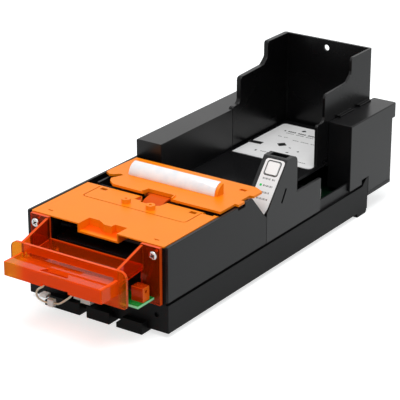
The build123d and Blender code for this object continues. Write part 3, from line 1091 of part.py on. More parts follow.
# Main board on stand-offs under the tray, its chips and connectors, and the rear panel.
parts["main_board"] = slab(MAIN_BOARD_X, MAIN_BOARD_Y, (MAIN_BOARD_Z, MAIN_BOARD_Z + BOARD_T))
board_face = MAIN_BOARD_Z + BOARD_T
chips = []
for from_left, from_front, width, depth, height in CHIPS:
    chip_x = (MAIN_BOARD_X[0] + from_left, MAIN_BOARD_X[0] + from_left + width)
    chip_y = (MAIN_BOARD_Y[0] + from_front, MAIN_BOARD_Y[0] + from_front + depth)
    chips.append(slab(chip_x, chip_y, (board_face, board_face + height)))
parts["board_chips"] = Compound(children=chips)
gap_y = [MAIN_BOARD_Y[0] + y for y in GAP_CONNECTOR_Y]
parts["gap_connector"] = slab((MAIN_BOARD_X[1] - GAP_CONNECTOR_W, MAIN_BOARD_X[1]), gap_y,
                              (board_face, board_face + GAP_CONNECTOR_H))
rear_panel = slab((-inner, inner), (REAR_Y - WALL, REAR_Y), (PAN_REAR_TOP, side_z))
rear_panel += slab((-tray_out, tray_out), (REAR_Y - WALL, REAR_Y), (side_z, TRAY_FLOOR_Z))
port_z = (board_face, board_face + PORT_HEIGHT)
for x in (POWER_X, DATA_X):
    rear_panel -= slab((x[0] - PORT_GAP, x[1] + PORT_GAP), (REAR_Y - WALL - 1, REAR_Y + 1),
                       (port_z[0] - PORT_GAP, port_z[1] + PORT_GAP))
parts["rear_panel"] = rear_panel


def hollow_connector(x, y, z):
    """An open box connector whose mouth faces the rear."""
    mouth_x = (x[0] + PORT_WALL, x[1] - PORT_WALL)
    mouth_z = (z[0] + PORT_WALL, z[1] - PORT_WALL)
    return slab(x, y, z) - slab(mouth_x, (y[0] + PORT_BACK, y[1] + 1), mouth_z)


parts["power_connector"] = hollow_connector(POWER_X, (REAR_Y - PORT_DEPTH[0], REAR_Y), port_z)
parts["data_connector"] = hollow_connector(DATA_X, (REAR_Y - PORT_DEPTH[1], REAR_Y), port_z)

os.makedirs("parts", exist_ok=True)
for node, shape in parts.items():
    export_step(shape, f"parts/{node}.step")
print(len(parts), "nodes")
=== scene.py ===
from math import cos, radians, sin, tau

import bpy
import numpy as np
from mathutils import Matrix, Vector


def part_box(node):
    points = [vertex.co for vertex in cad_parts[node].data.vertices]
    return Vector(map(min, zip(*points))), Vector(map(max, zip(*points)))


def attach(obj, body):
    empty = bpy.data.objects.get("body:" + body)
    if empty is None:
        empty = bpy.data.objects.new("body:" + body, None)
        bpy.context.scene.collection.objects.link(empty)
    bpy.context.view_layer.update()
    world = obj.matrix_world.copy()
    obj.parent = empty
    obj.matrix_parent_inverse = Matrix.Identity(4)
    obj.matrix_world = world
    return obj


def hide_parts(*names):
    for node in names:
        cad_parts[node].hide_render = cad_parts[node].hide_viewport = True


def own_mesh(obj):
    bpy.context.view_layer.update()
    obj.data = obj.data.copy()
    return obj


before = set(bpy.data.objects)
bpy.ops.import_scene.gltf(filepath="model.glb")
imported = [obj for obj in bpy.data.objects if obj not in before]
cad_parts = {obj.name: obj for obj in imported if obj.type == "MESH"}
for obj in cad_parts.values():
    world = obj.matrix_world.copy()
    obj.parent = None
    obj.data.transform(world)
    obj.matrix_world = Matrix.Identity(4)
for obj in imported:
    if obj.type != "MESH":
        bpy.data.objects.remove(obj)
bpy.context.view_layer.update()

# The ticket printer's looks, in the frame of the CAD model. Sizes are written in millimetres,
# unless they say metres, and MM turns them to metres. The file follows the printer as it is
# put together, from the lead and the base up to the covers, the tower and the bezel.
scene = bpy.context.scene
scene.view_settings.view_transform = "Standard"
MM = 0.001

# Camera: a long lens that looks down past the right front corner, set where the lines of
# the photograph meet. Its focal length is worked out in pixels of a 400 pixel picture.
EYE = Vector((630.8, -804.1, 496.7)) * MM
AIM = Vector((-3.86, 120.1, 38.6)) * MM
FOCAL_PIXELS = 1782.9
PICTURE_SIDE = 400
lens = bpy.data.cameras.new("camera")
lens.sensor_width = 36.0
lens.lens = lens.sensor_width * FOCAL_PIXELS / PICTURE_SIDE
lens.clip_start, lens.clip_end = 0.05, 20.0
camera = bpy.data.objects.new("camera", lens)
camera.location = EYE
camera.rotation_mode = "QUATERNION"
camera.rotation_quaternion = (AIM - EYE).to_track_quat("-Z", "Y")
scene.collection.objects.link(camera)
scene.camera = camera


# Sensor lead: one thin beige lead that leaves a socket under the bezel board, hangs in a
# loop, runs through its inline plug and climbs back to the second socket. PVC jacket.
LEAD_DIAMETER = 1.3
LEAD_ROUTE = [
    (-31.0, -15.0, 21.4), (-31.0, -15.0, 18.6), (-35.0, -15.0, 16.6), (-38.0, -15.0, 12.6),
    (-36.4, -15.0, 9.0), (-32.0, -15.0, 7.9), (-27.4, -15.0, 7.9), (-22.9, -15.0, 9.2),
    (-19.4, -15.0, 9.2), (-14.2, -15.0, 13.2), (-9.9, -15.0, 16.8), (-8.0, -15.0, 18.9),
    (-8.0, -15.0, 21.4)]


def srgb(code):
    """A colour written as sRGB hex, turned to the linear values that a shader reads."""
    parts = [int(code[k:k + 2], 16) / 255 for k in (1, 3, 5)]
    linear = [p / 12.92 if p <= 0.04045 else ((p + 0.055) / 1.055) ** 2.4 for p in parts]
    return (*linear, 1.0)


def add(tree, kind, values=None, links=None, tones=(), **settings):
    """Adds one node with its settings, its input values and what is linked to it. The tones
    of a ramp are places on it with the hex colours that it has there."""
    node = tree.nodes.new(kind)
    for name, value in settings.items():
        setattr(node, name, value)
    for name, value in (values or {}).items():
        node.inputs[name].default_value = value
    for name, socket in (links or {}).items():
        tree.links.new(socket, node.inputs[name])
    for k, (position, code) in enumerate(tones):
        node.color_ramp.elements[k].position = position
        node.color_ramp.elements[k].color = srgb(code)
    return node


def open_material(name):
    """A new material with an empty tree, and the Object coordinates of whatever wears it,
    from a node that gives the Normal too."""
    made = bpy.data.materials.new(name)
    made.use_nodes = True
    made.node_tree.nodes.clear()
    where = add(made.node_tree, "ShaderNodeTexCoord").outputs["Object"]
    return made, made.node_tree, where


def close_material(tree, values, links):
    """Ends a material with its surface shader and output."""
    shader = add(tree, "ShaderNodeBsdfPrincipled", values, links)
    add(tree, "ShaderNodeOutputMaterial", links={"Surface": shader.outputs["BSDF"]})


def patterned(name, low, high, size, values, detail=2.0, stretch=None, relief=None, skin=None,
              gloss=None):
    """A whole material of two close tones. A cloudy pattern of the given size in mm runs from
    one to the other, drawn out by stretch. Relief, a strength and a depth in mm, raises that
    pattern, or raises skin, a finer one given by its size and detail. Gloss is the roughness
    at the two ends of the pattern."""
    made, tree, where = open_material(name)
    if stretch:
        drawn = add(tree, "ShaderNodeMapping", {"Scale": stretch}, {"Vector": where})
        where = drawn.outputs["Vector"]
    clouds = add(tree, "ShaderNodeTexNoise", {"Scale": 1 / (size * MM), "Detail": detail},
                 {"Vector": where})
    ramp = add(tree, "ShaderNodeValToRGB", links={"Fac": clouds.outputs["Fac"]},
               tones=((0.3, low), (0.7, high)))
    links = {"Base Color": ramp.outputs["Color"]}
    if gloss:
        rough = add(tree, "ShaderNodeMapRange", {"To Min": gloss[0], "To Max": gloss[1]},
                    {"Value": clouds.outputs["Fac"]})
        links["Roughness"] = rough.outputs["Result"]
    if relief:
        raised = clouds
        if skin:
            raised = add(tree, "ShaderNodeTexNoise",
                         {"Scale": 1 / (skin[0] * MM), "Detail": skin[1]}, {"Vector": where})
        bump = add(tree, "ShaderNodeBump", {"Strength": relief[0], "Distance": relief[1] * MM},
                   {"Height": raised.outputs["Fac"]})
        links["Normal"] = bump.outputs["Normal"]
    close_material(tree, values, links)
    return made


# soft PVC drawn over the wires: a warm matt skin, mottled, with faint draw marks
lead_pvc = patterned("pvc_lead_jacket", "#EEDDBA", "#FAF0DC", 3.0,
                     {"Roughness": 0.45, "IOR": 1.53}, relief=(0.15, 0.05), skin=(0.25, 2.0))
lead_line = bpy.data.curves.new("sensor_lead", "CURVE")
lead_line.dimensions = "3D"
lead_line.bevel_depth = LEAD_DIAMETER / 2 * MM
lead_line.bevel_resolution = 6
lead_line.resolution_u = 16
lead_line.use_fill_caps = True
spline = lead_line.splines.new("NURBS")
spline.points.add(len(LEAD_ROUTE) - 1)
for point, place in zip(spline.points, LEAD_ROUTE):
    point.co = (*(c * MM for c in place), 1.0)
spline.order_u = 3
spline.use_endpoint_u = True
lead_line.materials.append(lead_pvc)
sensor_lead = bpy.data.objects.new("sensor_lead", lead_line)
scene.collection.objects.link(sensor_lead)
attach(sensor_lead, "chassis")
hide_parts("lead_left", "lead_right")


# Base tray: an open tray of black ABS with three lugs in front, rear feet and hooks. It is
# injection moulded in a mould with a fine spark-eroded skin, and holds everything else.
MELT_FLOW = 40.0


def moulded(name, low, high, roughness, grain=0.35, depth=0.02, shine=0.5):
    """Injection-moulded plastic: an eroded skin of the given grain and depth in mm, a slow
    change of tone and gloss where the melt flowed, and shine, how strongly it mirrors."""
    return patterned(name, low, high, MELT_FLOW, {"IOR": 1.5, "Specular IOR Level": shine},
                     detail=3.0, relief=(0.5, depth), skin=(grain, 3.0),
                     gloss=(roughness - 0.05, roughness + 0.06))


def dress(material, *names, edge=0.0):
    """Puts a material on CAD nodes. Where an edge is given, in mm, their edges get that
    radius, after the flat faces' triangles have been joined."""
    for name in names:
        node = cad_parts[name]
        node.data.materials.clear()
        node.data.materials.append(material)
        if edge:
            node.modifiers.new("join", "WELD").merge_threshold = 0.002 * MM
            flat = node.modifiers.new("flat", "DECIMATE")
            flat.decimate_type = "DISSOLVE"
            flat.angle_limit = radians(1)
            bevel = node.modifiers.new("edge", "BEVEL")
            bevel.width = edge * MM
            bevel.segments = 2
            bevel.limit_method = "ANGLE"
            bevel.angle_limit = radians(35)
            bevel.miter_outer = "MITER_ARC"


# ABS from an eroded mould: a fine even grain that takes the gloss off a near black
base_abs = moulded("abs_black_eroded_base", "#080809", "#0D0D0E", 0.4, shine=0.14)
dress(base_abs, "base_tray", edge=0.35)

# Chassis pan: a folded floor of sheet steel, 2 mm thick, riveted between the walls of the
# base. Like the two side frames and the rear hinge bracket it is dipped in black paint, a
# coat that is even but for a fine orange peel of about a millimetre.
painted = patterned("steel_sheet_black_dipped", "#0B0B0C", "#111112", 1.0,
                    {"Roughness": 0.45, "IOR": 1.5, "Specular IOR Level": 0.3},
                    relief=(0.3, 0.02))
dress(painted, "chassis_pan", "left_side_frame", "right_side_frame", "hinge_bracket", edge=0.15)

# Main board and the small boards: glass-fibre laminate under green solder mask. The mask is
# dark on the large boards and bright on the little one, and tracks show through it.
TRACK_PITCH = 3.0
TRACK_EDGE = (0.05, 0.12)


def masked(name, track_tone, mask_tone, edge_tone):
    """Solder mask over copper tracks: the edges of square cells, as the gap between the
    nearest and the second nearest of scattered points, stand for the tracks' edges. The
    sawn edges of the laminate bear no mask and are pale."""
    made, tree, where = open_material(name)
    # tracks run square to each other about every 3 mm, drawn wider than real ones to show
    second, nearest = [add(tree, "ShaderNodeTexVoronoi", {"Scale": 1 / (TRACK_PITCH * MM)},
                           {"Vector": where}, distance="MANHATTAN", feature=feature)
                       for feature in ("F2", "F1")]
    track = add(tree, "ShaderNodeMath", operation="SUBTRACT",
                links={0: second.outputs["Distance"], 1: nearest.outputs["Distance"]})
    mask = add(tree, "ShaderNodeMapRange",
               {"From Min": TRACK_EDGE[0], "From Max": TRACK_EDGE[1]},
               {"Value": track.outputs["Value"]})
    bump = add(tree, "ShaderNodeBump", {"Strength": 0.4, "Distance": 0.04 * MM},
               {"Height": mask.outputs["Result"]})
    facing = add(tree, "ShaderNodeSeparateXYZ", links={"Vector": where.node.outputs["Normal"]})
    level = add(tree, "ShaderNodeMath", links={0: facing.outputs["Z"]}, operation="ABSOLUTE")
    ramp = add(tree, "ShaderNodeValToRGB", links={"Fac": mask.outputs["Result"]},
               tones=((0, track_tone), (1, mask_tone)))
    tone = add(tree, "ShaderNodeMix", data_type="RGBA",
               links={0: level.outputs["Value"], 7: ramp.outputs["Color"]})
    tone.inputs[6].default_value = srgb(edge_tone)
    close_material(tree, {"Roughness": 0.28, "IOR": 1.55, "Specular IOR Level": 0.15},
                   {"Base Color": tone.outputs[2], "Normal": bump.outputs["Normal"]})
    return made


dark_mask = masked("glass_laminate_dark_mask", "#0B2A17", "#051A0D", "#22382A")
dress(dark_mask, "main_board", "harness_board", "switch_board")
bright_mask = masked("glass_laminate_green_mask", "#12A048", "#008A2C", "#9CE8AE")
dress(bright_mask, "bezel_board")

# Chips on the main board: blocks of moulded epoxy, a dull greyish black, with a row of bent
# tinned legs down both long sides. The power connector, the tower's switch and the ticket
# sensor are glass-filled nylon, which is blacker and a little glossier.
epoxy = moulded("epoxy_moulding_compound", "#17181A", "#1E1F22", 0.5, grain=0.15)
dress(epoxy, "board_chips")
nylon_black = moulded("nylon_black_glass_filled", "#121213", "#1B1B1C", 0.42, grain=0.2)
dress(nylon_black, "power_connector", "tact_switch", "ticket_sensor", edge=0.15)


def solid(name, corners, faces, material, body, slot_name):
    """A piece from arrays of corners, in mm, and faces."""
    mesh = bpy.data.meshes.new(name)
    mesh.from_pydata((np.asarray(corners, float) * MM).tolist(), [], [list(f) for f in faces])
    mesh.materials.append(material)
    mesh.validate()
    piece = bpy.data.objects.new(name, mesh)
    scene.collection.objects.link(piece)
    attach(piece, body)
    return piece


PRISM = np.array([(3, 2, 1, 0), (4, 5, 6, 7), (0, 1, 5, 4), (1, 2, 6, 5), (2, 3, 7, 6),
                  (3, 0, 4, 7)])


def prisms(under, over):
    """Many four-sided blocks at once: corners and faces, from arrays of the four corners of
    their lower and of their upper ends, anticlockwise when seen from above."""
    corners = np.concatenate([under, over], 1).reshape(-1, 3)
    faces = (np.arange(len(under))[:, None, None] * 8 + PRISM[None]).reshape(-1, 4)
    return corners, faces


def at_heights(x, y, *heights):
    """The places x, y on a level at each of the heights."""
    return [np.stack([x, y, np.full_like(x, z)], -1) for z in heights]


# tin-plated contacts: a bright metal, a little clouded
tin = patterned("tinned_contact", "#B9BDC0", "#DCDEDF", 0.8,
                {"Metallic": 1.0, "Roughness": 0.3})
LEG_PITCH = 1.27
LEG_WIDTH = 0.5
LEG_T = 0.25
# a leg reaches out of its chip and has its root in it, and the rows stop short of the corners
LEG_REACH, LEG_ROOT = 1.2, 0.1
ROW_FROM, ROW_TO = 1.2, 1.0
# each chip from its lowest to its highest x, and the same in y
CHIP_SIDES = ((-20.0, 0.0, 175.5, 195.5), (10.0, 24.0, 180.5, 190.5), (2.0, 18.0, 210.5, 218.5))
legs = []
for x0, x1, y0, y1 in CHIP_SIDES:
    for leg_x0, leg_x1 in ((x0 - LEG_REACH, x0 + LEG_ROOT), (x1 - LEG_ROOT, x1 + LEG_REACH)):
        legs += [(leg_x0, y, leg_x1, y + LEG_WIDTH)
                 for y in np.arange(y0 + ROW_FROM, y1 - ROW_TO, LEG_PITCH)]
legs = np.array(legs)
mask_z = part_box("main_board")[1].z / MM
legs_at = at_heights(legs[:, (0, 2, 2, 0)], legs[:, (1, 1, 3, 3)], mask_z, mask_z + LEG_T)
solid("chip_legs", *prisms(*legs_at), tin, "chassis", "zinc_steel")
dress(tin, "data_connector", edge=0.15)

# White housings: the tall connector in the gap behind the tower, the two in the opening of
# the base, and the sockets and the plug of the sensor lead. They are moulded from natural
# nylon, a milky white with a soft gloss.
nylon = moulded("nylon_natural_connector", "#FBF9F4", "#FFFFFD", 0.35, grain=0.2)
dress(nylon, "gap_connector", "front_connectors", "lead_sockets", "lead_plug", edge=0.2)

# Drive motor: a can of deep-drawn steel sheet, bright with zinc and faintly spangled, pressed
# into the right frame. Its shaft carries a turned brass pinion, and two moulded acetal gears
# take the turn to the platen.
motor_can = patterned("steel_can_bright_zinc", "#B4B6B6", "#CFD0CE", 0.5,
                      {"Metallic": 1.0, "Roughness": 0.25}, relief=(0.1, 0.01))
dress(motor_can, "drive_motor", edge=0.6)
# ground bar shines along its length, in fine rings round it
ground = patterned("steel_bar_ground", "#C2C4C6", "#DADBDC", 0.12,
                   {"Metallic": 1.0, "Roughness": 0.2}, stretch=(1.0, 0.02, 0.02),
                   relief=(0.12, 0.01))
dress(ground, "motor_shaft", "platen_shaft", "idler_stud", "latch_pin", "front_hinge_pins",
      "rear_hinge_pins")
# the bar under the latch has a black passivated zinc coat, so it stays unseen in the gap
passive = patterned("steel_bar_black_zinc", "#1B1B1D", "#29292B", 0.15,
                    {"Metallic": 1.0, "Roughness": 0.4}, stretch=(0.02, 1.0, 1.0))
dress(passive, "latch_bar")
# acetal is a waxy off-white, or black in the bushings
acetal = moulded("acetal_natural_gear", "#E6E4DC", "#F3F2ED", 0.36, grain=0.3)
dress(acetal, "idler_gear", "platen_gear")
acetal_black = moulded("acetal_black_bushing", "#0C0C0D", "#131314", 0.4, grain=0.3, shine=0.15)
dress(acetal_black, "platen_bushings")
# turned brass is a warm yellow metal, a little clouded
brass = patterned("brass_turned", "#C49A4A", "#DDB866", 0.2,
                  {"Metallic": 1.0, "Roughness": 0.28})
dress(brass, "motor_pinion")

# Platen: black nitrile rubber ground to size on a steel shaft, which turns in two moulded
# bushings. Grinding leaves fine rings round the rubber.
rubber = patterned("nitrile_rubber_ground", "#161617", "#232324", 0.2,
                   {"Roughness": 0.62, "IOR": 1.52}, detail=3.0, stretch=(1.0, 0.05, 0.05),
                   relief=(0.3, 0.02))
dress(rubber, "platen_roller")

# Thermal head: a glazed alumina strip on an extruded aluminium heat sink, pressed down on
# the platen by two coil springs that stand under the front cover. Black epoxy covers its
# driver chips along the front, and behind it the pale strip lies bare.
DRIVERS_END = (19.0, 19.3)
alumina, tree, where = open_material("alumina_glazed")
along = add(tree, "ShaderNodeSeparateXYZ", links={"Vector": where})
bare = add(tree, "ShaderNodeMapRange",
           {"From Min": DRIVERS_END[0] * MM, "From Max": DRIVERS_END[1] * MM},
           {"Value": along.outputs["Y"]})
ramp = add(tree, "ShaderNodeValToRGB", links={"Fac": bare.outputs["Result"]},
           tones=((0, "#121110"), (1, "#D9D6CC")))
close_material(tree, {"Roughness": 0.3, "IOR": 1.76, "Specular IOR Level": 0.3},
               {"Base Color": ramp.outputs["Color"]})
dress(alumina, "thermal_head", edge=0.1)
# extruding leaves fine streaks along the sink, and anodising makes it a metallic black
extruded = patterned("aluminium_extruded_black_anodised", "#1C1D1E", "#262728", 0.3,
                     {"Metallic": 1.0, "Roughness": 0.42}, detail=3.0, stretch=(0.02, 1.0, 1.0),
                     relief=(0.3, 0.02))
dress(extruded, "head_heat_sink", edge=0.2)


def ring_grid(points, closed_rows, start=0):
    """Quads over a grid of rows that each close on themselves. The rows also close on each
    other if asked, and otherwise the first and the last row are capped."""
    rows, columns = points.shape[:2]
    last = rows if closed_rows else rows - 1
    i, j = np.meshgrid(np.arange(last), np.arange(columns), indexing="ij")
    right, up = (j + 1) % columns, (i + 1) % rows
    quads = np.stack([i * columns + j, i * columns + right, up * columns + right,
                      up * columns + j], -1).reshape(-1, 4) + start
    faces = quads.tolist()
    if not closed_rows:
        faces.append(list(range(start + columns - 1, start - 1, -1)))
        faces.append(list(range(start + (rows - 1) * columns, start + rows * columns)))
    return faces


def tubes(grids):
    """Corners and faces of several capped tubes, each given as a grid of closed rows."""
    corners, faces = [], []
    for grid in grids:
        faces += ring_grid(grid, False, sum(len(points) for points in corners))
        corners.append(grid.reshape(-1, 3))
    return np.concatenate(corners), faces


SPRING_X = (-16.0, 16.0)
WIRE_R = 0.3
COIL_R = 2.65
TURNS = 4.0
COIL_STEPS = 97
WIRE_SIDES = 8
spring_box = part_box("head_springs")
spring_y = (spring_box[0].y + spring_box[1].y) / 2 / MM
first_z, last_z = spring_box[0].z / MM + WIRE_R, spring_box[1].z / MM - WIRE_R
# a circle carried along a helix: t runs along the wire and a round it
t = np.linspace(0, 1, COIL_STEPS)[:, None]
a = np.linspace(0, tau, WIRE_SIDES, endpoint=False)[None]
turn = tau * TURNS * t
reach = COIL_R + WIRE_R * np.cos(a)
coil = np.stack([reach * np.cos(turn), spring_y + reach * np.sin(turn),
                 first_z + (last_z - first_z) * t + WIRE_R * np.sin(a)], -1)
head_coils = solid("head_coils", *tubes([coil + (x, 0, 0) for x in SPRING_X]), ground,
                   "front_cover", "zinc_steel")
head_coils.data.shade_smooth()
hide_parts("head_springs")
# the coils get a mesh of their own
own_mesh(head_coils)

# Ticket guide: the sloping plate under the ticket, moulded from black ABS in a polished
# mould so that the paper slides on it.
guide_abs = moulded("abs_black_polished_guide", "#0A0A0B", "#101011", 0.2, grain=0.6,
                    depth=0.005)
dress(guide_abs, "ticket_guide", edge=0.1)

# Front panel, side plates and rear panel: moulded black ABS plates, 2 mm thick, clipped to
# the frames. The front panel is matt, and the others have a satin skin that shows soft
# highlights. The side plates carry the pins of the front cover.
panel_abs = moulded("abs_black_matt_panel", "#070707", "#0B0B0C", 0.42, shine=0.12)
dress(panel_abs, "front_panel", edge=0.2)
plate_abs = moulded("abs_black_satin_plate", "#0D0D0E", "#121213", 0.36, shine=0.26)
dress(plate_abs, "rear_panel", edge=0.2)
dress(plate_abs, "right_side_plate", "left_side_plate", edge=0.3)

# Front cover: a skin of orange ABS with a finger recess, a notch for the latch, two screw
# bosses, two windows and a fine parting line, which turns on two steel pins.
FRONT_SKIN_Z = 61.0


def zones_of(tree, fades, joins):
    """The zones of a material, each a value from 0 outside to 1 inside. A fade gives the
    value that tells the zone, where it sets in and where it is whole. A join gives two
    zones and how they are combined: their product, the smaller or the larger."""
    zones = {}
    for zone, (value, start, end) in fades.items():
        zones[zone] = add(tree, "ShaderNodeMapRange", {"From Min": start, "From Max": end},
                          {"Value": value}).outputs["Result"]
    for zone, (operation, first, second) in joins.items():
        zones[zone] = add(tree, "ShaderNodeMath", links={0: zones[first], 1: zones[second]},
                          operation=operation).outputs["Value"]
    return zones


def cover_abs(name, skin_z):
    """Satin orange ABS with painted shade: a deeper, redder orange is painted on the level
    floors below the skin, at the recess's back and in the parting line, for the shade there and
    the orange light that its own walls throw. Height in mm."""
    made = moulded(name, "#FF8804", "#FF8E0A", 0.38, grain=0.4, depth=0.015, shine=0.2)
    tree = made.node_tree
    kinds = {node.bl_idname: node for node in tree.nodes}
    where, skin, shader = [kinds["ShaderNode" + kind]
                           for kind in ("TexCoord", "ValToRGB", "BsdfPrincipled")]
    place = add(tree, "ShaderNodeSeparateXYZ", links={"Vector": where.outputs["Object"]})
    facing = add(tree, "ShaderNodeSeparateXYZ", links={"Vector": where.outputs["Normal"]})
    zones = zones_of(
        tree,
        {"below": (place.outputs["Z"], (skin_z - 0.2) * MM, (skin_z - 0.5) * MM),
         "level": (facing.outputs["Z"], 0.6, 0.9),
         "behind": (place.outputs["Y"], 2.0 * MM, 5.0 * MM),
         # the parting line is a narrow groove just under the skin, and its painted shade is the
         # darkest of them
         "groove": (place.outputs["Z"], (skin_z - 2.0) * MM, (skin_z - 1.0) * MM)},
        {"sunken": ("MULTIPLY", "below", "level"), "floors": ("MULTIPLY", "sunken", "behind")})
    # painted shade: a deeper orange on the sunken floors, darkest in the groove
    painted_recess_shade = add(tree, "ShaderNodeValToRGB", links={"Fac": zones["groove"]},
                 tones=((0, "#F45A02"), (1, "#B63802")))
    tone = add(tree, "ShaderNodeMix", data_type="RGBA",
               links={0: zones["floors"], 6: skin.outputs["Color"],
                      7: painted_recess_shade.outputs["Color"]})
    tree.links.new(tone.outputs[2], shader.inputs["Base Color"])
    return made


dress(cover_abs("abs_orange_satin_front", FRONT_SKIN_Z), "front_cover", edge=0.2)

# Rear cover: the same orange ABS, with a quarter-round rib that wears a white strip. Its thumb
# latch is a separate moulding that turns on a steel pin, and its deeper orange is painted shade
# for its hollow thumb.
REAR_SKIN_Z = 63.0
dress(cover_abs("abs_orange_satin_rear", REAR_SKIN_Z), "rear_cover", edge=0.2)
# the latch's darker orange is painted shade
latch_abs = moulded("abs_orange_latch_painted_shade", "#DC5208", "#E45A0D", 0.42, grain=0.4, depth=0.01,
                    shine=0.1)
dress(latch_abs, "cover_latch", edge=0.15)
# a wrapped film has shallow waves along its length, which break up its pearly gloss
strip_pet = patterned("pet_film_white_pearl", "#EDF1F6", "#FFFBFA", 6.0,
                      {"Roughness": 0.16, "IOR": 1.6, "Coat Weight": 0.5,
                       "Coat Roughness": 0.05}, relief=(0.25, 0.3))
dress(strip_pet, "cover_strip", edge=0.25)

# Tray, rail cover, box cover and hopper: black ABS plates and boxes clipped to the chassis.
# The tray and the hopper come from polished moulds, so that their inner walls mirror the
# white label on the tray's floor. The two covers have a satin skin.
tray_abs = moulded("abs_black_polished_tray", "#131314", "#181819", 0.2, grain=0.6, depth=0.006,
                   shine=0.16)
dress(tray_abs, "tray_bed", edge=0.3)
hopper_abs = moulded("abs_black_polished_hopper", "#070708", "#0B0B0C", 0.26, grain=0.6,
                     depth=0.006, shine=0.24)
dress(hopper_abs, "hopper", edge=0.3)
rail_abs = moulded("abs_black_satin_rail", "#0D0D0E", "#121213", 0.3, grain=0.4, shine=0.34)
dress(rail_abs, "left_rail_cover", "rear_box_cover", edge=0.3)

# Loading label: coated paper on the tray's floor. Its print is made of plain marks, a black
# diamond, a black bar and rows of short strokes where instructions would stand.
INK = 0.03
# coated paper is a clean white, faintly cloudy, with its fibres just to be felt
paper = patterned("paper_coated_white", "#F0F0F0", "#F6F6F6", 12.0,
                  {"Roughness": 0.4, "IOR": 1.5}, relief=(0.2, 0.03), skin=(0.6, 4.0))
dress(paper, "floor_label")
# printing ink is a black that is thinner here and there
ink = patterned("printing_ink_black", "#121212", "#262626", 0.4, {"Roughness": 0.35})
# each mark is a four-cornered patch: centre x, centre y, half width, half depth, turn
marks = [(-8.6, 232.2, 2.9, 2.9, 45), (-27.4, 226.0, 5.6, 2.5, 4), (-9.6, 264.8, 1.4, 1.4, 45),
         (0.0, 229.3, 0.9, 0.5, 0), (3.2, 220.2, 1.0, 0.7, 30), (9.0, 225.8, 0.8, 0.8, 45),
         (-18.3, 212.0, 0.7, 1.2, 0), (14.5, 246.0, 1.4, 0.6, 10)]
# each row of strokes: its y, where it starts and ends, and its strokes' half depth
STROKE_ROWS = ((258.6, -22, 26, 1.0), (255.0, -20, 24, 0.4), (246.4, -20, -12, 0.4),
               (244.2, -6, 16, 0.4), (212.6, -14, 2, 0.4), (208.4, 8, 26, 0.4))
STROKE_STEP = 1.7
STROKE_HALF = 0.62
STROKE_TURN = 12
for row_y, row_x0, row_x1, half_y in STROKE_ROWS:
    for k, x in enumerate(np.arange(row_x0, row_x1, STROKE_STEP)):
        # every fifth stroke is left out, so that the row falls into groups
        if (k * 7 + int(row_y)) % 5:
            marks.append((x, row_y, STROKE_HALF, half_y, STROKE_TURN))
marks = np.array(marks, float)
square_x, square_y = np.array([-1, 1, 1, -1]), np.array([-1, -1, 1, 1])
cosine, sine = np.cos(np.radians(marks[:, 4:])), np.sin(np.radians(marks[:, 4:]))
half_x, half_y = marks[:, 2:3] * square_x, marks[:, 3:4] * square_y
mark_x = marks[:, 0:1] + cosine * half_x - sine * half_y
mark_y = marks[:, 1:2] + sine * half_x + cosine * half_y
label_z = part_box("floor_label")[1].z / MM
solid("floor_print", *prisms(*at_heights(mark_x, mark_y, label_z, label_z + INK)), ink,
      "chassis", "black_key")

# Control tower: a hollow black ABS housing with a sloping face and a satin skin. It holds the
# feed button, the green status lamp and the small board behind them.
tower_abs = moulded("abs_black_satin_tower", "#101011", "#151516", 0.34, shine=0.36)
dress(tower_abs, "tower_housing", edge=0.35)
# the sloping face: its tilt, and the y and z of its foot
TILT = radians(50)
FACE_FOOT = (110.5, 43.0)


def on_face(x, s, out):
    """Places on the tower's sloping face: across, up the slope and out of it, in mm."""
    x, s, out = np.broadcast_arrays(np.asarray(x, float), s, out)
    return np.stack([x, FACE_FOOT[0] + s * cos(TILT) - out * sin(TILT),
                     FACE_FOOT[1] + s * sin(TILT) + out * cos(TILT)], -1)


HALVINGS = 40


def rounded_outline(half_x, half_y, radius, centre, around, steps=96):
    """Where rays from a point meet a rounded rectangle, found by halving the distance."""
    angle = np.linspace(0, tau, steps, endpoint=False)
    ray = np.stack([np.cos(angle), np.sin(angle)], -1)
    near, far = np.zeros(steps), np.full(steps, 2 * (half_x + half_y))
    for _ in range(HALVINGS):
        middle = (near + far) / 2
        spot = np.abs(np.asarray(around) + ray * middle[:, None] - np.asarray(centre))
        spot = spot - (half_x - radius, half_y - radius)
        outside = np.hypot(*np.maximum(spot, 0).T) + np.minimum(spot.max(1), 0) > radius
        near, far = np.where(outside, near, middle), np.where(outside, middle, far)
    return np.asarray(around) + ray * near[:, None]


def holed_sheet(name, outer, inner, underside, top, material, slot_name):
    """A sheet with a hole: its section's four corners, the outer and the inner outline at
    the top and at the underside, carried round the hole on the tower's face."""
    section = ((outer, top), (inner, top), (inner, underside), (outer, underside))
    grid = np.stack([on_face(outline[:, 0], outline[:, 1], out) for outline, out in section])
    return solid(name, grid.reshape(-1, 3), ring_grid(grid, True), material, "chassis",
                 slot_name)


# The face label is one printed sheet with round corners and a square hole for the button.
LABEL_HALF = (7.4, 19.5)
LABEL_CORNER = 2.2
LABEL_MID = (46.6, 20.5)
LABEL_T = 0.3
BUTTON_MID = (46.6, 33.5)
HOLE_HALF = 4.75
HOLE_CORNER = 1.5
label_edge = rounded_outline(*LABEL_HALF, LABEL_CORNER, LABEL_MID, BUTTON_MID)
hole_edge = rounded_outline(HOLE_HALF, HOLE_HALF, HOLE_CORNER, BUTTON_MID, BUTTON_MID)
tower_sheet = holed_sheet("tower_sheet", label_edge, hole_edge, 0.0, LABEL_T, paper,
                          "white_label")
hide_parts("tower_label")
# a thick dark line is printed round the button's hole, as on such labels
RING_OUT = 0.75
RING_IN = 0.1
RING_CORNER = 1.9
ring_out = rounded_outline(HOLE_HALF + RING_OUT, HOLE_HALF + RING_OUT, RING_CORNER, BUTTON_MID,
                           BUTTON_MID)
ring_in = rounded_outline(HOLE_HALF + RING_IN, HOLE_HALF + RING_IN, HOLE_CORNER, BUTTON_MID,
                          BUTTON_MID)
holed_sheet("button_ring", ring_out, ring_in, LABEL_T, LABEL_T + INK, ink, "black_key")
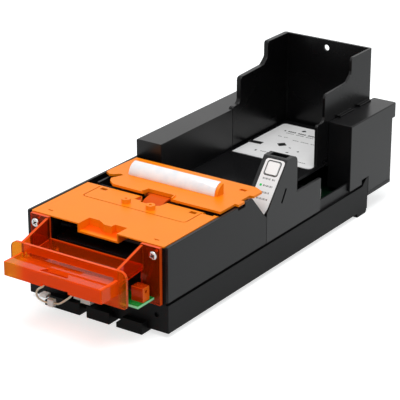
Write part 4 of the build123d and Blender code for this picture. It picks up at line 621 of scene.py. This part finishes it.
# rows of strokes stand for its signs: how far up the slope, and where a row starts and ends
SIGN_ROWS = ((25.8, 42.2, 47.6), (25.8, 49.4, 51.4), (20.9, 44.4, 51.4), (16.2, 45.0, 50.2),
             (11.6, 43.0, 51.0))
SIGN_STEP = 0.85
SIGN_HALF = 0.6
SIGN_WIDE, SIGN_NARROW = 0.55, 0.3
strokes = []
for row_s, row_x0, row_x1 in SIGN_ROWS:
    for k, x in enumerate(np.arange(row_x0, row_x1, SIGN_STEP)):
        strokes.append((x, row_s - SIGN_HALF, x + (SIGN_NARROW if k % 3 else SIGN_WIDE),
                        row_s + SIGN_HALF))
strokes = np.array(strokes)
stroke_x, stroke_s = strokes[:, (0, 2, 2, 0)], strokes[:, (1, 1, 3, 3)]
stroke_ends = [on_face(stroke_x, stroke_s, out) for out in (LABEL_T, LABEL_T + INK)]
solid("tower_print", *prisms(*stroke_ends), ink, "chassis", "black_key")
# the button is a smooth white key, and the lamp tinted epoxy that is lit from inside
key_abs = moulded("abs_white_key", "#F8F8F7", "#FDFDFC", 0.3, grain=0.3, depth=0.01)
dress(key_abs, "feed_button")
lens_green = patterned("epoxy_lamp_green", "#0FA648", "#19C45A", 1.0,
                       {"Roughness": 0.15, "IOR": 1.55, "Emission Strength": 0.25,
                        "Emission Color": srgb("#19C45A")})
dress(lens_green, "status_lamp")

# Bezel: one moulding of clear orange polycarbonate, screwed to the front panel. The hood of the
# exit sensor is the same plastic. Light shows through it, and its edges and its deep lip have a
# painted glow.
clear, tree, where = open_material("polycarbonate_clear_orange")
streak = add(tree, "ShaderNodeTexNoise", {"Scale": 1 / (15.0 * MM), "Detail": 2.0},
             {"Vector": where})
gloss = add(tree, "ShaderNodeMapRange", {"To Min": 0.03, "To Max": 0.07},
            {"Value": streak.outputs["Fac"]})
bump = add(tree, "ShaderNodeBump", {"Strength": 0.12, "Distance": 0.15 * MM},
           {"Height": streak.outputs["Fac"]})
place = add(tree, "ShaderNodeSeparateXYZ", links={"Vector": where})
facing = add(tree, "ShaderNodeSeparateXYZ", links={"Vector": where.node.outputs["Normal"]})
outward = add(tree, "ShaderNodeMath", links={0: place.outputs["X"]}, operation="ABSOLUTE")
sideways = add(tree, "ShaderNodeMath", links={0: facing.outputs["X"]}, operation="ABSOLUTE")
SLANT = 0.5
slant = add(tree, "ShaderNodeMath", {1: SLANT}, {0: place.outputs["Y"], 2: place.outputs["X"]},
            operation="MULTIPLY_ADD")
# The shelf and the cheeks are thin and clear. The deep lip in front looks redder, except at its
# left end and the apron's right end, where little stands between it and the light. Its narrow
# faces have a painted glow, a brighter and less clear orange that stands for light piped
# through the sheet: the tops of the cheeks and of the apron, the outer sides of the flanges and
# the rear edges of the shelf and the cheeks.
zones = zones_of(
    tree,
    {"front": (place.outputs["Y"], -24.0 * MM, -27.0 * MM),
     "on_lip": (place.outputs["Y"], -29.0 * MM, -31.0 * MM),
     "off_left_end": (slant.outputs["Value"], -52.0 * MM, -44.0 * MM),
     "off_right_end": (place.outputs["X"], 42.0 * MM, 37.0 * MM),
     "upward": (facing.outputs["Z"], 0.3, 0.5),
     "sideways": (sideways.outputs["Value"], 0.0, 1.0),
     "on_cheek": (outward.outputs["Value"], 35.7 * MM, 35.9 * MM),
     "on_crest": (place.outputs["Z"], 50.3 * MM, 50.6 * MM),
     "on_rim": (outward.outputs["Value"], 49.8 * MM, 50.0 * MM),
     "at_back": (place.outputs["Y"], -1.5 * MM, -1.2 * MM),
     "between_cheeks": (outward.outputs["Value"], 36.4 * MM, 36.2 * MM)},
    {"inward": ("MINIMUM", "off_left_end", "off_right_end"),
     "thick": ("MAXIMUM", "inward", "on_lip"),
     "deep": ("MULTIPLY", "front", "thick"),
     "ledge": ("MAXIMUM", "on_cheek", "on_crest"),
     "top_face": ("MULTIPLY", "upward", "ledge"),
     "side_face": ("MULTIPLY", "sideways", "on_rim"),
     "outer": ("MAXIMUM", "top_face", "side_face"),
     "rear_edge": ("MULTIPLY", "at_back", "between_cheeks"),
     "painted_glow_faces": ("MAXIMUM", "outer", "rear_edge")})
THIN_CLEAR, DEEP_CLEAR, EDGE_CLEAR = 0.85, 0.6, 0.2
passing = add(tree, "ShaderNodeMapRange", {"To Min": THIN_CLEAR, "To Max": DEEP_CLEAR},
              {"Value": zones["deep"]})
kept = add(tree, "ShaderNodeMapRange", {"To Min": 1.0, "To Max": EDGE_CLEAR},
           {"Value": zones["painted_glow_faces"]})
through = add(tree, "ShaderNodeMath", operation="MULTIPLY",
              links={0: passing.outputs["Result"], 1: kept.outputs["Result"]})
lip = add(tree, "ShaderNodeValToRGB", links={"Fac": zones["inward"]},
          tones=((0, "#F89A12"), (1, "#FF6006")))
sheet = add(tree, "ShaderNodeMix", data_type="RGBA",
            links={0: zones["front"], 7: lip.outputs["Color"]})
sheet.inputs[6].default_value = srgb("#F25406")
# the glowing narrow faces are painted a bright orange: painted glow
tone = add(tree, "ShaderNodeMix", data_type="RGBA",
           links={0: zones["painted_glow_faces"], 6: sheet.outputs[2]})
tone.inputs[7].default_value = srgb("#FF5A18")
# the deep lip glows a little in its own colour: painted glow, though it is no lamp
PAINTED_GLOW = 0.03
painted_lip_glow = add(tree, "ShaderNodeMath", {1: PAINTED_GLOW}, {0: zones["deep"]}, operation="MULTIPLY")
ORANGE_GLINT = srgb("#FF5A14")
close_material(tree, {"IOR": 1.5, "Specular IOR Level": 0.15, "Specular Tint": ORANGE_GLINT},
               {"Emission Color": lip.outputs["Color"],
                "Emission Strength": painted_lip_glow.outputs["Value"],
                "Base Color": tone.outputs[2], "Transmission Weight": through.outputs["Value"],
                "Roughness": gloss.outputs["Result"], "Normal": bump.outputs["Normal"]})
dress(clear, "bezel", edge=0.4)
# the hood is clear in front, and its right side, with the sensor's hole, is thick and bright
hood_clear, tree, where = open_material("polycarbonate_clear_hood")
cloud = add(tree, "ShaderNodeTexNoise", {"Scale": 1 / (3.0 * MM), "Detail": 2.0},
            {"Vector": where})
place = add(tree, "ShaderNodeSeparateXYZ", links={"Vector": where})
facing = add(tree, "ShaderNodeSeparateXYZ", links={"Vector": where.node.outputs["Normal"]})
hood_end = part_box("sensor_hood")[1].x
zones = zones_of(
    tree,
    {"at_right": (place.outputs["X"], hood_end - 1.4 * MM, hood_end - 1.2 * MM),
     "rightward": (facing.outputs["X"], 0.5, 0.8)},
    {"thick": ("MULTIPLY", "at_right", "rightward")})
HOOD_CLEAR, SIDE_CLEAR = 0.68, 0.2
through = add(tree, "ShaderNodeMapRange", {"To Min": HOOD_CLEAR, "To Max": SIDE_CLEAR},
              {"Value": zones["thick"]})
walls = add(tree, "ShaderNodeValToRGB", links={"Fac": cloud.outputs["Fac"]},
            tones=((0.3, "#F05208"), (0.7, "#FA5E0C")))
tone = add(tree, "ShaderNodeMix", data_type="RGBA",
           links={0: zones["thick"], 6: walls.outputs["Color"]})
tone.inputs[7].default_value = srgb("#FF7018")
close_material(tree, {"Roughness": 0.08, "IOR": 1.5, "Specular IOR Level": 0.2,
                      "Specular Tint": ORANGE_GLINT},
               {"Base Color": tone.outputs[2],
                "Transmission Weight": through.outputs["Result"]})
dress(hood_clear, "sensor_hood", edge=0.4)
# the rounded edges of both are painted a brighter orange, as their narrow faces are: painted
# glow and highlight
painted_edge_glow = patterned("polycarbonate_painted_edge_glow", "#F0500C", "#FF6E28", 5.0,
                      {"Roughness": 0.2, "Transmission Weight": 0.25,
                       "Specular IOR Level": 0.25, "Specular Tint": ORANGE_GLINT})
for name in ("bezel", "sensor_hood"):
    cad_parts[name].data.materials.append(painted_edge_glow)
    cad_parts[name].modifiers["edge"].material = 1
# the little board's lamps are drops of amber epoxy, smooth and glossy
lamp_amber = moulded("epoxy_lamp_amber", "#F0A030", "#F6B54A", 0.2, grain=0.5, depth=0.005)
dress(lamp_amber, "bezel_lamps", edge=0.2)

# Bezel screws: two bright nickel-plated pan heads with a cross recess, size M3, which hold
# the bezel's flanges to the front panel. Rings stand for the thread, which runs into the panel.
nickel, tree, where = open_material("steel_nickel_plated")
haze = add(tree, "ShaderNodeTexNoise", {"Scale": 1 / (0.7 * MM), "Detail": 2.0},
           {"Vector": where})
gloss = add(tree, "ShaderNodeMapRange", {"To Min": 0.1, "To Max": 0.22},
            {"Value": haze.outputs["Fac"]})
# nickel is a warm bright metal, a little hazy; its cross recess is painted dark, partly painted
# shade and partly a little oil, and an attribute of the mesh says how deep it is
plate = add(tree, "ShaderNodeValToRGB", links={"Fac": haze.outputs["Fac"]},
            tones=((0.3, "#C9C8C6"), (0.7, "#E4E3E1")))
sunk = add(tree, "ShaderNodeAttribute", attribute_name="sunk")
# the recess is painted dark: painted shade and a little oil
recess_shade_and_oil = add(tree, "ShaderNodeMix", data_type="RGBA",
           links={0: sunk.outputs["Fac"], 6: plate.outputs["Color"]})
recess_shade_and_oil.inputs[7].default_value = srgb("#1C1A18")
close_material(tree, {"Metallic": 1.0},
               {"Base Color": recess_shade_and_oil.outputs[2], "Roughness": gloss.outputs["Result"]})
SCREW_X = (-46.0, 46.0)
SCREW_Z = 55.0
SCREW_SIDES = 64
# the head sits on the flange at y -2.5; its straight rim is 0.45 of its rise, under a dome
HEAD_SEAT = -2.5
HEAD_R = 2.9
HEAD_RISE = 1.8
HEAD_RIM = 0.45
DOME_ROWS = 26
DOME_POWER = 2.6
# the shank ends at y 4.0 in a narrower tip
SHANK_R = 1.45
SHANK_END = 4.0
TIP_SHARE = 0.6
THREAD_PITCH = 0.5
THREAD_DEPTH = 0.16
# the recess: its depth, its arms' half width and reach with the fade of each, and its turn
RECESS = 1.15
ARM_HALF, ARM_FADE = 0.42, 0.14
ARM_REACH, REACH_FADE = 1.75, 0.3
RECESS_SLOPE = 0.35
RECESS_TURN = 0.5
# the profile runs from the middle of the head out over the rim, under it and down the shank
dome_r = np.linspace(0.02, 1, DOME_ROWS) * HEAD_R
crown = np.sqrt(np.maximum(1 - (dome_r / HEAD_R) ** DOME_POWER, 0))
dome_y = HEAD_SEAT - HEAD_RISE * (HEAD_RIM + (1 - HEAD_RIM) * crown)
shank_y = np.arange(HEAD_SEAT + 0.05, SHANK_END, THREAD_PITCH / 4)
shank_r = SHANK_R - THREAD_DEPTH * (0.5 - 0.5 * np.cos(shank_y / THREAD_PITCH * tau))
profile_r = np.concatenate([dome_r, [HEAD_R, SHANK_R], shank_r, [SHANK_R * TIP_SHARE]])
profile_y = np.concatenate([dome_y, [HEAD_SEAT, HEAD_SEAT], shank_y, [SHANK_END]])
angle = np.linspace(0, tau, SCREW_SIDES, endpoint=False)[None]
radius = profile_r[:, None]
across, up = radius * np.cos(angle), radius * np.sin(angle)
# the recess is a cross that is cut deepest in the middle and slopes up along its arms
arm = np.minimum(np.abs(across), np.abs(up))
reach = np.maximum(np.abs(across), np.abs(up))
cross = (np.clip((ARM_HALF - arm) / ARM_FADE, 0, 1)
         * np.clip((ARM_REACH - reach) / REACH_FADE, 0, 1))
on_head = (np.arange(len(profile_r)) < DOME_ROWS)[:, None]
depth = np.repeat(profile_y[:, None], SCREW_SIDES, 1)
cut = RECESS * cross * (1 - RECESS_SLOPE * reach / ARM_REACH)
depth = np.where(on_head, depth + cut, depth)
screw = np.stack([across * cos(RECESS_TURN) - up * sin(RECESS_TURN), depth,
                  SCREW_Z + (across * sin(RECESS_TURN) + up * cos(RECESS_TURN))], -1)
pan_screws = solid("pan_screws", *tubes([screw + (x, 0, 0) for x in SCREW_X]), nickel,
                   "chassis", "chrome_screw")
pan_screws.data.shade_smooth()
sunk_share = np.tile(np.where(on_head, cross, 0.0).reshape(-1), len(SCREW_X))
pan_screws.data.attributes.new("sunk", "FLOAT", "POINT").data.foreach_set("value", sunk_share)
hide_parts("bezel_screws")

# Floor, backdrop and light: a white sweep lit by one large soft lamp above and behind, and
# an even white room. What the camera or a reflection sees of the room is plain white.
SPAN = 6.0  # metres, like the softbox's place and size
floor_mesh = bpy.data.meshes.new("floor")
floor_mesh.from_pydata([(-SPAN, -SPAN, 0), (SPAN, -SPAN, 0), (SPAN, SPAN, 0), (-SPAN, SPAN, 0)],
                       [], [(0, 1, 2, 3)])
floor = bpy.data.objects.new("floor", floor_mesh)
scene.collection.objects.link(floor)
# the sweep is matt white paper, lifted towards white for the eye, and less in reflections
# and through clear plastic
FLOOR_LIFT = 0.68
GLASS_LIFT = 0.3
sweep, tree, where = open_material("paper_sweep_white")
seen = add(tree, "ShaderNodeLightPath")
grain = add(tree, "ShaderNodeTexNoise", {"Scale": 1 / (2.0 * MM)}, {"Vector": where})
in_glass = add(tree, "ShaderNodeMath", operation="MAXIMUM",
               links={0: seen.outputs["Is Glossy Ray"], 1: seen.outputs["Is Transmission Ray"]})
glass_lift = add(tree, "ShaderNodeMath", {1: GLASS_LIFT}, {0: in_glass.outputs["Value"]},
                 operation="MULTIPLY")
eye_lift = add(tree, "ShaderNodeMath", {1: FLOOR_LIFT}, {0: seen.outputs["Is Camera Ray"]},
               operation="MULTIPLY")
lift = add(tree, "ShaderNodeMath", operation="ADD",
           links={0: eye_lift.outputs["Value"], 1: glass_lift.outputs["Value"]})
pulp = add(tree, "ShaderNodeValToRGB", links={"Fac": grain.outputs["Fac"]},
           tones=((0.3, "#CED1D2"), (0.7, "#D2D5D6")))
WHITE = srgb("#FFFFFF")
close_material(tree, {"Roughness": 1.0, "Specular IOR Level": 0.0, "Emission Color": WHITE},
               {"Base Color": pulp.outputs["Color"],
                "Emission Strength": lift.outputs["Value"]})
floor_mesh.materials.append(sweep)

room = bpy.data.worlds.new("white_room")
scene.world = room
room.use_nodes = True
tree = room.node_tree
tree.nodes.clear()
seen = add(tree, "ShaderNodeLightPath")
mirror_or_eye = add(tree, "ShaderNodeMath", operation="MAXIMUM",
                    links={0: seen.outputs["Is Camera Ray"], 1: seen.outputs["Is Glossy Ray"]})
any_view = add(tree, "ShaderNodeMath", operation="MAXIMUM",
               links={0: mirror_or_eye.outputs["Value"],
                      1: seen.outputs["Is Transmission Ray"]})
ROOM_LIGHT = 0.48
level = add(tree, "ShaderNodeMapRange", {"To Min": ROOM_LIGHT, "To Max": 1.0},
            {"Value": any_view.outputs["Value"]})
background = add(tree, "ShaderNodeBackground", {"Color": WHITE},
                 {"Strength": level.outputs["Result"]})
add(tree, "ShaderNodeOutputWorld", links={"Surface": background.outputs["Background"]})

SOFTBOX_PLACE = Vector((0.10, -0.15, 1.6))
SOFTBOX_AIM = Vector((0, 0.1, 0))
lamp = bpy.data.lights.new("softbox", "AREA")
lamp.size = 1.2
lamp.energy = 17.0
softbox = bpy.data.objects.new("softbox", lamp)
softbox.location = SOFTBOX_PLACE
softbox.rotation_mode = "QUATERNION"
softbox.rotation_quaternion = (SOFTBOX_AIM - SOFTBOX_PLACE).to_track_quat("-Z", "Y")
scene.collection.objects.link(softbox)
